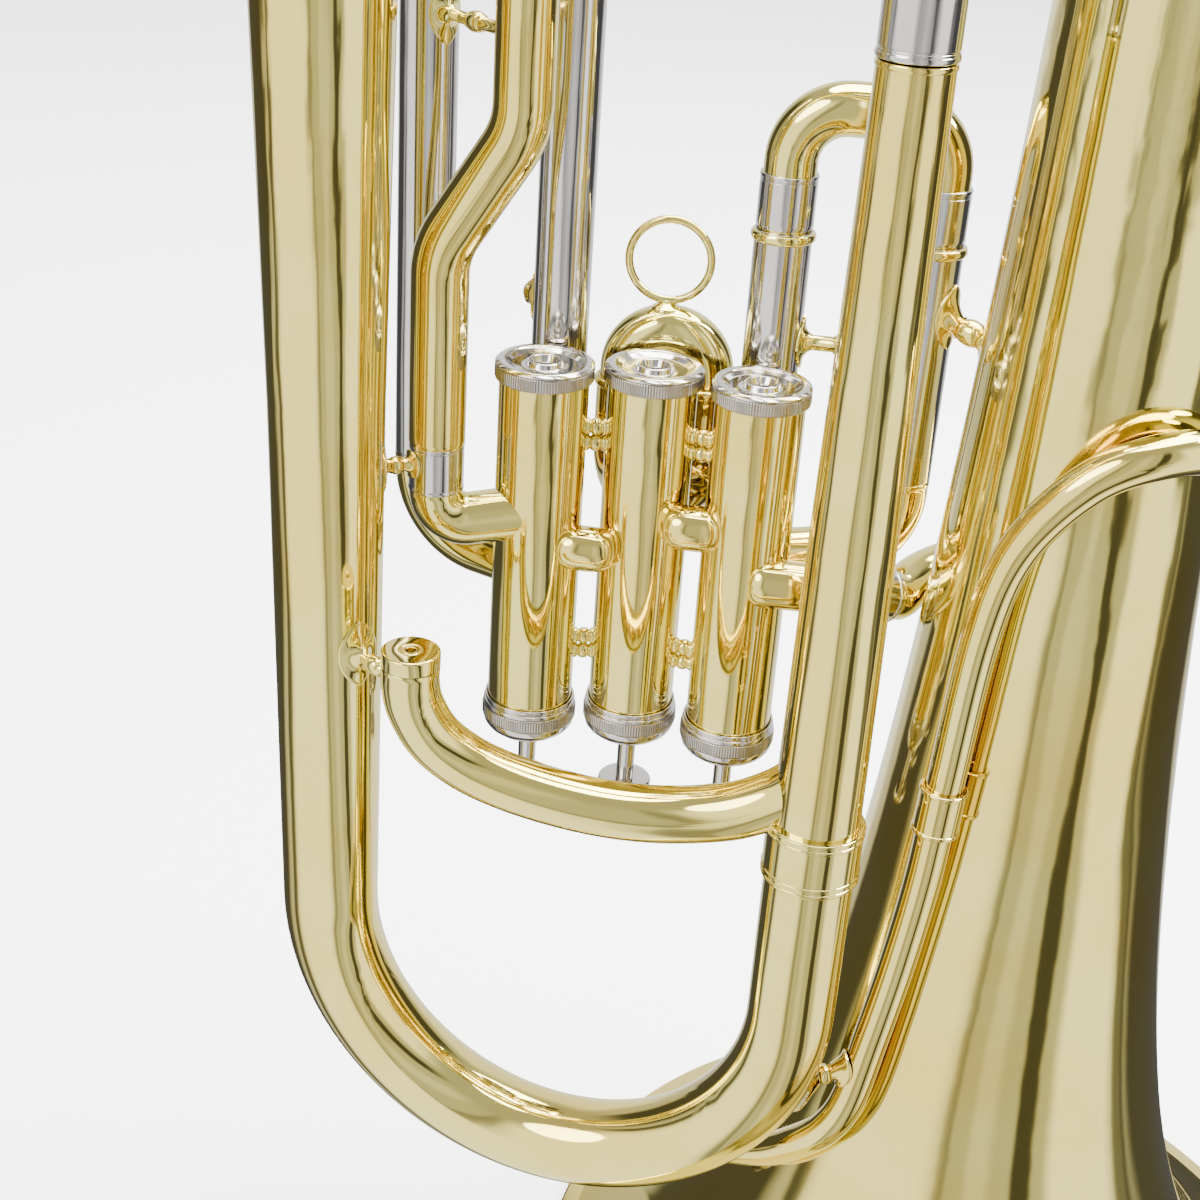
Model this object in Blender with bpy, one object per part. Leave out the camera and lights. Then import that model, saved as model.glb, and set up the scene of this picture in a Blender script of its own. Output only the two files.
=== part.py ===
"""A compact three-valve euphonium, standing on its bell rim.

Lengths are millimetres in the constants and metres in the scene. X runs along the valve row, Y
runs away from the player's side, Z is up. Design points are taken from the middle valve's axis at
the height of the casings' finger end; ORIGIN moves them to the middle of the footprint, on the
plane the rim stands on.
"""

import math

import bmesh
import bpy
import numpy as np
from mathutils import Vector

MM = 0.001
GAP = 0.3  # between pieces that touch on the real instrument
SADDLE_GAP = 0.45  # under a brace's foot, whose flat faces dip towards the tube
WALL = 0.7  # drawn brass tubing
SIDES = 10  # sides of the valve tubing
BIG_SIDES = 14
THIN_SIDES = 8
BEND_STEPS = 3  # faces along a quarter bend

# Valve block
VALVE_SPACING = 32.5
MIDDLE_VALVE_BACK = 5.5
CASING_R = 13.6
CASING_BORE_R = 12.4
CASING_BOTTOM = -4.0
CASING_TOP = 114.0
PISTON_R = 12.1
PISTON_LENGTH = 84.0
PISTON_POCKET_R = 10.4
PISTON_POCKET_DEPTH = 12.0
VALVE_TRAVEL = 15.0
STEM_R = 2.9
BUTTON_R = 8.8
BUTTON_THICK = 2.6
CAP_R = 15.2
TOP_CAP_LIP = 5.0
TOP_CAP_DEPTH = 10.0
BOTTOM_CAP_R = 15.0
BOTTOM_CAP_LIP = 113.0
BOTTOM_CAP_TOP = 119.0
SPRING_R = 9.4
SPRING_WIRE_R = 0.6
SPRING_TURNS = 5

# Valve tubing
TUBE_R = 7.9
SLEEVE_R = TUBE_R + GAP + 0.5
KNUCKLE_R = 7.1
KNUCKLE_Y = -6.0
KNUCKLE_12_Z = 71.8
KNUCKLE_23_Z = 61.0
PORT_BORE_R = 6.6

# Valve slides: the two legs' places, the heights of the sleeves and the crook
SLIDE_1_LEGS = ((33.5, 23.8), (78.0, 23.8))
SLIDE_1_RING_Z = 159.0
SLIDE_1_BEND_Z = 179.0
SLIDE_1_BEND_R = 16.0
SLIDE_2_LEGS = ((-11.5, 30.0), (14.6, 30.0))
SLIDE_2_RING_Z = 106.0
SLIDE_2_BEND_Z = 108.7
SLIDE_3_LEGS = ((-74.2, 22.0), (-32.0, 25.0))
SLIDE_3_RING_Z = 236.0
SLIDE_3_BEND_Z = 262.0
LEG_DEPTH = (62.0, 21.0, 62.0)  # how far each slide's legs reach into the sleeves
SLEEVE_RING_R = SLEEVE_R + 0.8
SLEEVE_RING_LENGTH = 3.0

# Large branches
OUTER_LEG = (-90.7, -32.0)
INNER_LEG = (62.5, -62.0)
U_BEND_Z = -60.0
U_FERRULE_Z = (-9.0, 10.0)
OUTER_R = ((-70.0, 15.2), (111.0, 17.0), (222.0, 19.4), (330.0, 22.2))
INNER_R = ((-70.0, 13.4), (-20.0, 13.2), (50.0, 12.5), (97.0, 12.0), (171.0, 10.6), (226.0, 9.8))
BOW_Z = 330.0
BELL_AXIS = (127.8, -8.0)
BOW_BELL_R = 29.5
BOW_COLLAR = 1.2  # how much wider than the branch the bow's collar is

# Bell
BELL_RIM_Z = -226.0
BELL_RIM_R = 140.0
BELL_FLARE = 40.0
BELL_POWER = 0.602
BELL_WALL = 0.9
RIM_BEAD_R = 2.4
BELL_TOP_Z = 322.0
BELL_SIDES = 26

# Tube from the third valve to the main tuning slide
S_TUBE_R = 8.6
S_ELBOW_R = 8.2
S_LOWER = (-62.8, -10.0)
S_UPPER = (-40.3, -10.0)
S_PORT_Z = 71.0
S_FERRULE_Z = (78.0, 93.0)
S_OFFSET_Z = (152.5, 188.5)

# Main tuning slide
MAIN_SLEEVE_Z = (226.0, 274.0)
MAIN_BEND_Z = 290.0
MAIN_LEG_R = (8.4, 9.2)
MAIN_LEG_DEPTH = 44.0

# Leadpipe
PORT_TUBE_Y = -9.0
PORT_TUBE_Z = 57.8
LEAD_R = (7.7, 5.6)
LEAD_BELL_GAP = 2.2
LEAD_WRAP = (  # bearing round the bell's axis in degrees, height
    (141.0, 51.0), (121.0, 53.5), (99.0, 61.0), (76.0, 71.5), (51.0, 84.0), (26.0, 97.0),
    (1.0, 110.0), (-25.0, 121.0), (-51.0, 128.0), (-76.0, 128.0), (-97.0, 119.0),
)
LEAD_POINTS = (
    (107.5, -52.5, 98.0), (101.5, -51.5, 70.0), (98.4, -52.0, 21.0), (96.5, -52.5, -12.0),
    (93.0, -54.0, -43.0), (88.5, -56.5, -71.0), (84.2, -58.5, -95.0), (79.0, -58.0, -108.0),
    (71.5, -54.0, -119.0), (62.0, -46.0, -132.0), (50.0, -36.0, -143.0), (38.0, -29.0, -149.0),
)
LEAD_FERRULE_Z = (5.0, 20.0)
PORT_SLEEVE_START = (69.0, 1.2, 53.2)
PORT_SLEEVE_LENGTH = 11.0
RECEIVER_R = 7.6

# Hand guard
GUARD_R = 8.6
GUARD_TOP = (-58.6, -60.0, 43.6)
GUARD_POINTS = (
    (-57.0, -60.0, 30.0), (-51.5, -60.0, 20.5), (-42.5, -60.0, 13.5), (-31.0, -60.0, 8.6),
    (-16.5, -60.0, 5.0), (-1.0, -60.0, 3.0), (14.0, -60.0, 3.0), (28.0, -60.0, 5.0),
    (40.0, -60.5, 8.6), (52.0, -61.0, 15.5),
)
PLUG_LENGTH = 5.0

# Water key on the third slide's fixed tube
WATER_KEY_Z = 129.6
WATER_KEY_ANGLE = math.radians(152)
WATER_KEY_LEAF = 5.0
WATER_KEY_BOSS_R = 4.1
WATER_KEY_HEIGHT = 3.0
WATER_KEY_BUTTON_R = 2.5
WATER_KEY_TRAVEL = 1.2

PULL_RING_R = 12.6
PULL_RING_WIRE_R = 1.25

LEFT_SIDE = OUTER_LEG[0] - OUTER_R[-1][1] - BOW_COLLAR
CENTRE_X = (BELL_AXIS[0] + BELL_RIM_R + RIM_BEAD_R + LEFT_SIDE) / 2
ORIGIN = Vector((CENTRE_X, BELL_AXIS[1], BELL_RIM_Z - RIM_BEAD_R))

VALVES = {
    1: (VALVE_SPACING, 0.0),
    2: (0.0, MIDDLE_VALVE_BACK),
    3: (-VALVE_SPACING, 0.0),
}

BRASS = ("lacquered_brass", (0.83, 0.66, 0.33, 1.0), 0.12)
NICKEL = ("nickel_silver", (0.72, 0.70, 0.66, 1.0), 0.16)
STEEL = ("spring_steel", (0.55, 0.55, 0.56, 1.0), 0.3)


def clear_scene():
    for obj in list(bpy.data.objects):
        bpy.data.objects.remove(obj, do_unlink=True)


def material(finish):
    """The Principled material of this finish, made once."""
    name, colour, roughness = finish
    made = bpy.data.materials.get(name)
    if made is None:
        made = bpy.data.materials.new(name)
        made.use_nodes = True
        shader = made.node_tree.nodes["Principled BSDF"]
        shader.inputs["Base Color"].default_value = colour
        shader.inputs["Metallic"].default_value = 1.0
        shader.inputs["Roughness"].default_value = roughness
    return made


def add_object(name, points, faces, finish, pivot=(0.0, 0.0, 0.0)):
    """A mesh object from design points in millimetres, with its origin at the pivot."""
    pivot = np.array(pivot, float)
    mesh = bpy.data.meshes.new(name)
    mesh.from_pydata(((np.array(points, float) - pivot) * MM).tolist(), [], faces)
    mesh.validate()
    work = bmesh.new()
    work.from_mesh(mesh)
    bmesh.ops.remove_doubles(work, verts=work.verts, dist=1e-7)
    bmesh.ops.recalc_face_normals(work, faces=work.faces)
    work.to_mesh(mesh)
    work.free()
    mesh.shade_smooth()
    mesh.set_sharp_from_angle(angle=math.radians(40))
    mesh.materials.append(material(finish))
    obj = bpy.data.objects.new(name, mesh)
    obj.location = (Vector(pivot) - ORIGIN) * MM
    bpy.context.collection.objects.link(obj)
    return obj


def as_cutter(obj):
    obj.hide_render = True
    obj.display_type = "WIRE"
    return obj


def boolean(obj, other, operation="DIFFERENCE"):
    modifier = obj.modifiers.new(f"{operation.lower()} {other.name}", "BOOLEAN")
    modifier.operation = operation
    modifier.object = other
    modifier.solver = "EXACT"


def ring_faces(count, sides, closed=False):
    """Quads between rings of points laid one after another."""
    faces = []
    for i in range(count if closed else count - 1):
        a, b = i * sides, (i + 1) % count * sides
        for j in range(sides):
            k = (j + 1) % sides
            faces.append((a + j, a + k, b + k, b + j))
    return faces


def frames(path, closed=False, seed=(1.0, 0.0, 0.0)):
    """Tangent, normal and binormal along a path, carried without twist from the first point.

    The first normal points as nearly along the seed as it can.
    """
    path = np.array(path, float)
    if closed:
        tangents = np.roll(path, -1, 0) - np.roll(path, 1, 0)
    else:
        tangents = np.gradient(path, axis=0)
    tangents /= np.linalg.norm(tangents, axis=1)[:, None]
    first = tangents[0]
    seed = np.array(seed, float)
    if abs(first @ seed) > 0.8:
        seed = np.array((0.0, 0.0, 1.0))
    normal = seed - first * (seed @ first)
    normals = []
    for tangent in tangents:
        normal = normal - tangent * (normal @ tangent)
        normal = normal / np.linalg.norm(normal)
        normals.append(normal)
    normals = np.array(normals)
    return tangents, normals, np.cross(tangents, normals)


def rings(path, radii, sides, closed=False, seed=(1.0, 0.0, 0.0)):
    """Circles of points round a path. Each turns with the path, so bends keep their section."""
    _, normals, others = frames(path, closed, seed)
    angles = 2 * math.pi * np.arange(sides) / sides
    radii = np.broadcast_to(radii, len(path))[:, None, None]
    across = normals[:, None] * np.cos(angles)[:, None] + others[:, None] * np.sin(angles)[:, None]
    return (np.array(path, float)[:, None] + radii * across).reshape(-1, 3)


def route(corners, bend, steps=BEND_STEPS, radii=None):
    """A path through corner points with each inner corner rounded to a bend radius."""
    corners = [np.array(corner, float) for corner in corners]
    bends = np.broadcast_to(bend, len(corners) - 2)
    path = [corners[0]]
    for i, radius in enumerate(bends):
        before, at, after = corners[i : i + 3]
        into, out = at - before, after - at
        into, out = into / np.linalg.norm(into), out / np.linalg.norm(out)
        turn = math.acos(max(-1.0, min(1.0, float(into @ out))))
        setback = radius * math.tan(turn / 2)
        inward = out - into * (out @ into)
        inward /= np.linalg.norm(inward)
        start = at - into * setback
        count = max(2, math.ceil(steps * turn / (math.pi / 2)))
        for k in range(count + 1):
            angle = turn * k / count
            path.append(start + radius * (math.sin(angle) * into + (1 - math.cos(angle)) * inward))
    path.append(corners[-1])
    kept = [path[0]]
    for point in path[1:]:
        if np.linalg.norm(point - kept[-1]) > 0.05:
            kept.append(point)
    return np.array(kept)


def smooth_route(points, count):
    """A Catmull-Rom curve through hand-chosen points, read at even steps of length."""
    points = np.array(points, float)
    ends = np.vstack((2 * points[0] - points[1], points, 2 * points[-1] - points[-2]))
    dense = []
    for i in range(len(points) - 1):
        a, b, c, d = ends[i : i + 4]
        for t in np.linspace(0, 1, 24, endpoint=False):
            dense.append(
                0.5
                * (2 * b + (c - a) * t + (2 * a - 5 * b + 4 * c - d) * t**2
                   + (3 * b - 3 * c + d - a) * t**3)
            )
    dense.append(points[-1])
    dense = np.array(dense)
    along = lengths(dense)
    wanted = np.linspace(0, along[-1], count)
    return np.stack([np.interp(wanted, along, dense[:, axis]) for axis in range(3)], 1)


def lengths(path):
    """Distance along a path at each of its points."""
    steps = np.linalg.norm(np.diff(path, axis=0), axis=1)
    return np.concatenate(([0.0], np.cumsum(steps)))


def taper(path, start, end):
    """A radius that goes evenly from start to end along the path."""
    along = lengths(path)
    return start + (end - start) * along / along[-1]


def pipe(
    name, path, radii, finish, wall=WALL, sides=SIDES, pivot=(0.0, 0.0, 0.0), seed=(1.0, 0.0, 0.0)
):
    """A tube with open ends along a path."""
    radii = np.broadcast_to(radii, len(path)).astype(float)
    outer = rings(path, radii, sides, False, seed)
    inner = rings(path, radii - wall, sides, False, seed)
    count = len(path)
    shift = count * sides
    faces = ring_faces(count, sides)
    faces += [tuple(shift + i for i in reversed(face)) for face in ring_faces(count, sides)]
    for start in (0, (count - 1) * sides):
        for j in range(sides):
            k = (j + 1) % sides
            faces.append((start + j, start + k, shift + start + k, shift + start + j))
    return add_object(name, np.vstack((outer, inner)), faces, finish, pivot)


def rod(name, path, radii, finish, sides=SIDES, pivot=(0.0, 0.0, 0.0)):
    """A solid bar along a path, with flat ends."""
    points = rings(path, radii, sides)
    count = len(path)
    faces = ring_faces(count, sides)
    faces += [tuple(range(sides)), tuple((count - 1) * sides + j for j in range(sides))]
    return add_object(name, points, faces, finish, pivot)


def turned(name, profile, centre, finish, sides=BIG_SIDES, pivot=(0.0, 0.0, 0.0)):
    """A closed (radius, height) outline turned about a vertical axis."""
    angles = 2 * math.pi * np.arange(sides) / sides
    points = np.array(
        [
            (centre[0] + r * math.cos(a), centre[1] + r * math.sin(a), z)
            for r, z in profile
            for a in angles
        ]
    )
    return add_object(name, points, ring_faces(len(profile), sides, True), finish, pivot)


def cylinder(name, start, end, radius, sides=24):
    """A straight round cutter."""
    return as_cutter(rod(name, [start, end], radius, BRASS, sides))


def along_z(x, y, low, high):
    return [(x, y, low), (x, y, high)]


def radius_at(stations, z):
    return float(np.interp(z, [s[0] for s in stations], [s[1] for s in stations]))


def bell_radius(z):
    """The bell's outside radius at a height: a power of the distance from the rim."""
    return BELL_RIM_R * (BELL_FLARE / (z - BELL_RIM_Z + BELL_FLARE)) ** BELL_POWER


class Tube:
    """The place of a fixed tube that a brace stands on."""

    def __init__(self, point, axis, radius):
        self.point = np.array(point, float)
        self.axis = np.array(axis, float) / np.linalg.norm(axis)
        self.radius = radius


def wrapped(tube, towards, across, height, angle):
    """A point on a saddle foot: bent round the tube near it and straight above it."""
    along = tube.axis
    flat_normal = towards
    normal = towards - along * (towards @ along)
    normal /= np.linalg.norm(normal)
    side = np.cross(along, normal)
    u, v = across * math.cos(angle), across * math.sin(angle)
    turn = v / tube.radius
    curved = along * u + (tube.radius + height) * (math.cos(turn) * normal + math.sin(turn) * side)
    flat_u = along - flat_normal * (along @ flat_normal)
    flat_u /= np.linalg.norm(flat_u)
    flat_side = np.cross(flat_u, flat_normal)
    straight = flat_u * u + flat_side * v + flat_normal * (tube.radius + height)
    blend = min(1.0, height / 4.0) ** 1.5
    return tube.point + curved * (1 - blend) + straight * blend


def brace(name, first, second, foot_1, foot_2, waist, bead=0.0, finish=BRASS, sides=10):
    """A turned post between two tubes, with a saddle foot bent round each of them."""
    line = second.point - first.point
    reach = float(np.linalg.norm(line))
    towards = line / reach
    span = reach - first.radius - second.radius
    middle = span / 2
    angles = 2 * math.pi * np.arange(sides) / sides

    def half(tube, direction, foot):
        flare = min(3.0, middle * 0.6)
        outline = [
            (0.05, SADDLE_GAP), (foot * 0.55, SADDLE_GAP), (foot, SADDLE_GAP),
            (foot, SADDLE_GAP + 0.9), (waist * 1.6, SADDLE_GAP + 1.3), (waist, flare),
        ]
        return [[wrapped(tube, direction, r, h, a) for a in angles] for r, h in outline]

    start = half(first, towards, foot_1)
    end = half(second, -towards, foot_2)
    centre = first.point + towards * (first.radius + middle)
    # The far half's rings run the other way round, so each is matched to the nearest start.
    loops = start
    if bead > 0:
        base = np.array(start[-1])
        centre_start = base.mean(axis=0)
        arms = (base - centre_start) / np.linalg.norm(base - centre_start, axis=1)[:, None]
        for r, offset in ((waist, -bead), (bead, -bead * 0.5), (bead, bead * 0.5), (waist, bead)):
            loops.append(list(centre + arms * r + towards * offset))
    for loop in reversed(end):
        loop = np.array(loop)
        last = np.array(loops[-1])
        last_arms = last - last.mean(axis=0)
        arms = loop - loop.mean(axis=0)
        if np.cross(last_arms[0], last_arms[1]) @ np.cross(arms[0], arms[1]) < 0:
            loop = loop[::-1]
            arms = arms[::-1]
        cost = [float((np.roll(arms, k, 0) * last_arms).sum()) for k in range(sides)]
        loops.append(list(np.roll(loop, int(np.argmax(cost)), 0)))
    points = np.array(loops).reshape(-1, 3)
    count = len(loops)
    faces = ring_faces(count, sides)
    faces += [tuple(range(sides)), tuple((count - 1) * sides + j for j in range(sides))]
    return add_object(name, points, faces, finish)


def build_bell():
    depths = (0.0, 5.0, 13.0, 27.0, 50.0, 90.0, 150.0, 240.0, 370.0)
    outer = [(bell_radius(BELL_RIM_Z + d), BELL_RIM_Z + d) for d in depths]
    outer.append((bell_radius(BELL_TOP_Z), BELL_TOP_Z))
    inner = [(r - BELL_WALL, z) for r, z in outer]
    bead = [
        (BELL_RIM_R - RIM_BEAD_R * 0.9, BELL_RIM_Z - RIM_BEAD_R * 0.8),
        (BELL_RIM_R - RIM_BEAD_R * 0.4, BELL_RIM_Z - RIM_BEAD_R),
        (BELL_RIM_R + RIM_BEAD_R * 0.4, BELL_RIM_Z - RIM_BEAD_R),
        (BELL_RIM_R + RIM_BEAD_R, BELL_RIM_Z - RIM_BEAD_R * 0.4),
        (BELL_RIM_R + RIM_BEAD_R, BELL_RIM_Z + RIM_BEAD_R * 0.4),
        (BELL_RIM_R + RIM_BEAD_R * 0.4, BELL_RIM_Z + RIM_BEAD_R),
    ]
    turned("bell", bead + outer[1:] + inner[:0:-1], BELL_AXIS, BRASS, BELL_SIDES)


def build_bow():
    left = np.array((*OUTER_LEG, BOW_Z))
    right = np.array((*BELL_AXIS, BOW_Z))
    half = float(np.linalg.norm(right - left)) / 2
    lift = np.array((0.0, 0.0, half))
    sleeve = np.array((0.0, 0.0, 14.0))
    path = route([left - sleeve, left + lift, right + lift, right - sleeve], half, 6)
    radii = taper(path, OUTER_R[-1][1] + BOW_COLLAR, BOW_BELL_R + 1.4)
    pipe("bottom_bow", path, radii, BRASS, WALL, BIG_SIDES)


def ferrule_bore():
    return INNER_R[0][1] + GAP


def build_branches():
    half = math.dist(OUTER_LEG, INNER_LEG) / 2
    low = U_BEND_Z - half
    path = route(
        [
            (*OUTER_LEG, BOW_Z - 15.0),
            (*OUTER_LEG, low),
            (*INNER_LEG, low),
            (*INNER_LEG, U_FERRULE_Z[0] + 5.0),
        ],
        half,
        6,
    )
    extra = [(*OUTER_LEG, z) for z in (222.0, 111.0)]
    path = np.vstack((path[:1], extra, path[1:]))
    along = lengths(path)
    bend_start = BOW_Z - 15.0 - U_BEND_Z
    down = [radius_at(OUTER_R, z) for z in path[:, 2]]
    share = np.clip((along - bend_start) / (math.pi * half), 0, 1)
    bend = OUTER_R[0][1] + (INNER_R[0][1] - OUTER_R[0][1]) * share
    radii = np.where(along <= bend_start, down, bend)
    pipe("u_bow_branch", path, radii, BRASS, WALL, BIG_SIDES)

    heights = (U_FERRULE_Z[0] + 5.0 + GAP, 50.0, 97.0, 171.0, MAIN_SLEEVE_Z[0] - GAP)
    pipe(
        "inner_branch",
        [(*INNER_LEG, z) for z in heights],
        [radius_at(INNER_R, z) for z in heights],
        BRASS,
        WALL,
        BIG_SIDES,
    )
    ferrule_r = ferrule_bore()
    low, high = U_FERRULE_Z
    outline = [
        (ferrule_r + 0.9, low), (ferrule_r + 0.9, low + 1.6), (ferrule_r + 0.5, low + 2.2),
        (ferrule_r + 0.5, high - 2.2), (ferrule_r + 0.9, high - 1.6), (ferrule_r + 0.9, high),
        (ferrule_r, high), (ferrule_r, low),
    ]
    turned("u_bow_ferrule", outline, INNER_LEG, BRASS)


def port_cutter(valve, ports):
    """The bores that the tubing makes in one valve casing."""
    x, y = VALVES[valve]
    points, faces = [], []
    sides = 10
    for angle, z in ports:
        direction = np.array((math.cos(math.radians(angle)), math.sin(math.radians(angle)), 0.0))
        middle = np.array((x, y, z))
        ring = rings([middle + direction * 4, middle + direction * 16], PORT_BORE_R, sides)
        base = len(points)
        points += list(ring)
        faces += [tuple(base + i for i in face) for face in ring_faces(2, sides)]
        faces += [tuple(base + i for i in range(sides)), tuple(base + sides + i for i in range(sides))]
    return as_cutter(add_object(f"port_bores_{valve}", points, faces, BRASS))


PORTS = {
    1: ((-30.0, PORT_TUBE_Z), (200.0, KNUCKLE_12_Z), (85.0, 38.0), (40.0, 62.0)),
    2: ((-40.0, KNUCKLE_12_Z), (220.0, KNUCKLE_23_Z), (50.0, 72.0), (130.0, 75.0)),
    3: ((-20.0, KNUCKLE_23_Z), (195.0, S_PORT_Z), (90.0, 76.0), (125.0, 47.0)),
}


def build_valves():
    for number, (x, y) in VALVES.items():
        centre = (x, y)
        casing = turned(
            f"valve_casing_{number}",
            [
                (CASING_R, CASING_TOP), (CASING_R, CASING_BOTTOM),
                (CASING_BORE_R, CASING_BOTTOM), (CASING_BORE_R, CASING_TOP),
            ],
            centre,
            BRASS,
        )
        boolean(casing, port_cutter(number, PORTS[number]))
        build_caps(number, centre)
        build_piston(number, centre)


def build_caps(number, centre):
    inner = CASING_R + GAP
    shelf = CASING_BOTTOM - GAP
    turned(
        f"top_cap_{number}",
        [
            (CAP_R - 0.6, TOP_CAP_LIP), (CAP_R, TOP_CAP_LIP - 0.8), (CAP_R, -5.0),
            (CAP_R - 1.6, -8.0), (CAP_R - 5.0, -TOP_CAP_DEPTH + 0.4), (4.6, -TOP_CAP_DEPTH),
            (STEM_R + 0.5, -TOP_CAP_DEPTH), (STEM_R + 0.5, -8.4), (11.2, -7.6),
            (11.4, shelf), (inner, shelf), (inner, TOP_CAP_LIP),
        ],
        centre,
        NICKEL,
    )
    ceiling = CASING_TOP + GAP
    turned(
        f"bottom_cap_{number}",
        [
            (BOTTOM_CAP_R, BOTTOM_CAP_TOP - 0.5), (BOTTOM_CAP_R, BOTTOM_CAP_LIP),
            (inner, BOTTOM_CAP_LIP), (inner, ceiling), (2.0, ceiling),
            (2.0, BOTTOM_CAP_TOP - 0.4), (4.2, BOTTOM_CAP_TOP - 0.6), (6.6, BOTTOM_CAP_TOP - 3.2),
            (10.6, BOTTOM_CAP_TOP - 3.2), (12.2, BOTTOM_CAP_TOP), (BOTTOM_CAP_R - 0.5, BOTTOM_CAP_TOP),
        ],
        centre,
        NICKEL,
    )


def build_piston(number, centre):
    """The piston, stem and finger button of one valve, and the spring behind it."""
    top = CASING_BOTTOM + PISTON_LENGTH
    pivot = (*centre, CASING_BOTTOM)
    button_top = -TOP_CAP_DEPTH - VALVE_TRAVEL - 1.5
    floor = top - PISTON_POCKET_DEPTH
    piston = turned(
        f"piston_{number}",
        [
            (PISTON_R, top), (PISTON_R, CASING_BOTTOM), (STEM_R, CASING_BOTTOM),
            (STEM_R, button_top + GAP), (0.01, button_top + GAP), (0.01, floor),
            (PISTON_POCKET_R, floor), (PISTON_POCKET_R, top),
        ],
        centre,
        NICKEL,
        pivot=pivot,
    )
    x, y = centre
    channels = {1: (-30.0, PORT_TUBE_Z), 2: (-40.0, KNUCKLE_23_Z), 3: (10.0, S_PORT_Z)}
    angle, z = channels[number]
    reach = np.array((math.cos(math.radians(angle)), math.sin(math.radians(angle)), 0.0)) * 16
    middle = np.array((x, y, z - 4.0))
    cut = cylinder(f"channel_{number}", middle - reach, middle + reach + (0, 0, 2.0), 5.6, 10)
    boolean(piston, cut)
    turned(
        f"finger_button_{number}",
        [
            (BUTTON_R - 0.4, button_top), (BUTTON_R, button_top - 0.5),
            (BUTTON_R, button_top - BUTTON_THICK + 0.8),
            (BUTTON_R - 2.5, button_top - BUTTON_THICK), (0.01, button_top - BUTTON_THICK - 0.2),
            (0.01, button_top),
        ],
        centre,
        NICKEL,
        pivot=pivot,
    )
    start = floor + GAP + SPRING_WIRE_R
    end = CASING_TOP - SPRING_WIRE_R
    steps = SPRING_TURNS * 7
    coil = [
        (
            x + SPRING_R * math.cos(2 * math.pi * SPRING_TURNS * t),
            y + SPRING_R * math.sin(2 * math.pi * SPRING_TURNS * t),
            start + (end - start) * t,
        )
        for t in np.linspace(0, 1, steps + 1)
    ]
    rod(f"valve_spring_{number}", coil, SPRING_WIRE_R, STEEL, 3, pivot=pivot)


def casing_cutter(number):
    """A casing's outside with the gap that tubing soldered to it keeps."""
    x, y = VALVES[number]
    name = f"casing_clearance_{number}"
    made = bpy.data.objects.get(name)
    if made is None:
        made = cylinder(name, (x, y, -60.0), (x, y, 170.0), CASING_R + GAP)
    return made


def build_knuckles():
    (x1, _), (x2, _), (x3, _) = VALVES[1], VALVES[2], VALVES[3]
    for name, start, end, z, pair in (
        ("knuckle_1_2", x2 + 6, x1 - 6, KNUCKLE_12_Z, (1, 2)),
        ("knuckle_2_3", x3 + 6, x2 - 6, KNUCKLE_23_Z, (2, 3)),
    ):
        tube = pipe(name, [(start, KNUCKLE_Y, z), (end, KNUCKLE_Y, z)], KNUCKLE_R, BRASS)
        for number in pair:
            boolean(tube, casing_cutter(number))
    for label, z in (("upper", 97.0), ("lower", 23.5)):
        for first, second in ((1, 2), (2, 3)):
            build_bead(f"casing_bead_{first}_{second}_{label}", VALVES[first], VALVES[second], z)


def build_bead(name, first, second, z):
    """A little turned spacer soldered between two casings."""
    a, b = np.array((*first, z)), np.array((*second, z))
    reach = float(np.linalg.norm(b - a))
    towards = (b - a) / reach
    inset = CASING_R + GAP + 0.15
    span = reach - 2 * inset
    path = [a + towards * (inset + span * t) for t in (0.0, 0.2, 0.35, 0.65, 0.8, 1.0)]
    rod(name, path, [3.6, 3.4, 2.3, 2.3, 3.4, 3.6], BRASS, 8)


def between(legs):
    """The level direction from a slide's first leg to its second, which both sets of tubes face."""
    (ax, ay), (bx, by) = legs
    reach = math.dist((ax, ay), (bx, by))
    return ((bx - ax) / reach, (by - ay) / reach, 0.0)


def slide_sleeve(name, path, ring_z, valve, legs, finish=BRASS):
    """An outer slide tube with the bead at its mouth."""
    x, y = path[0][0], path[0][1]
    wall = SLEEVE_R - TUBE_R - GAP
    tube = pipe(name, path, SLEEVE_R, finish, wall, SIDES, seed=between(legs))
    low = ring_z - SLEEVE_RING_LENGTH
    ring = turned(
        f"{name}_bead",
        [(SLEEVE_RING_R, ring_z), (SLEEVE_RING_R, low), (SLEEVE_R - 0.25, low), (SLEEVE_R - 0.25, ring_z)],
        (x, y),
        BRASS,
        SIDES,
    )
    boolean(tube, as_cutter(ring), "UNION")
    boolean(tube, casing_cutter(valve))


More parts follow.
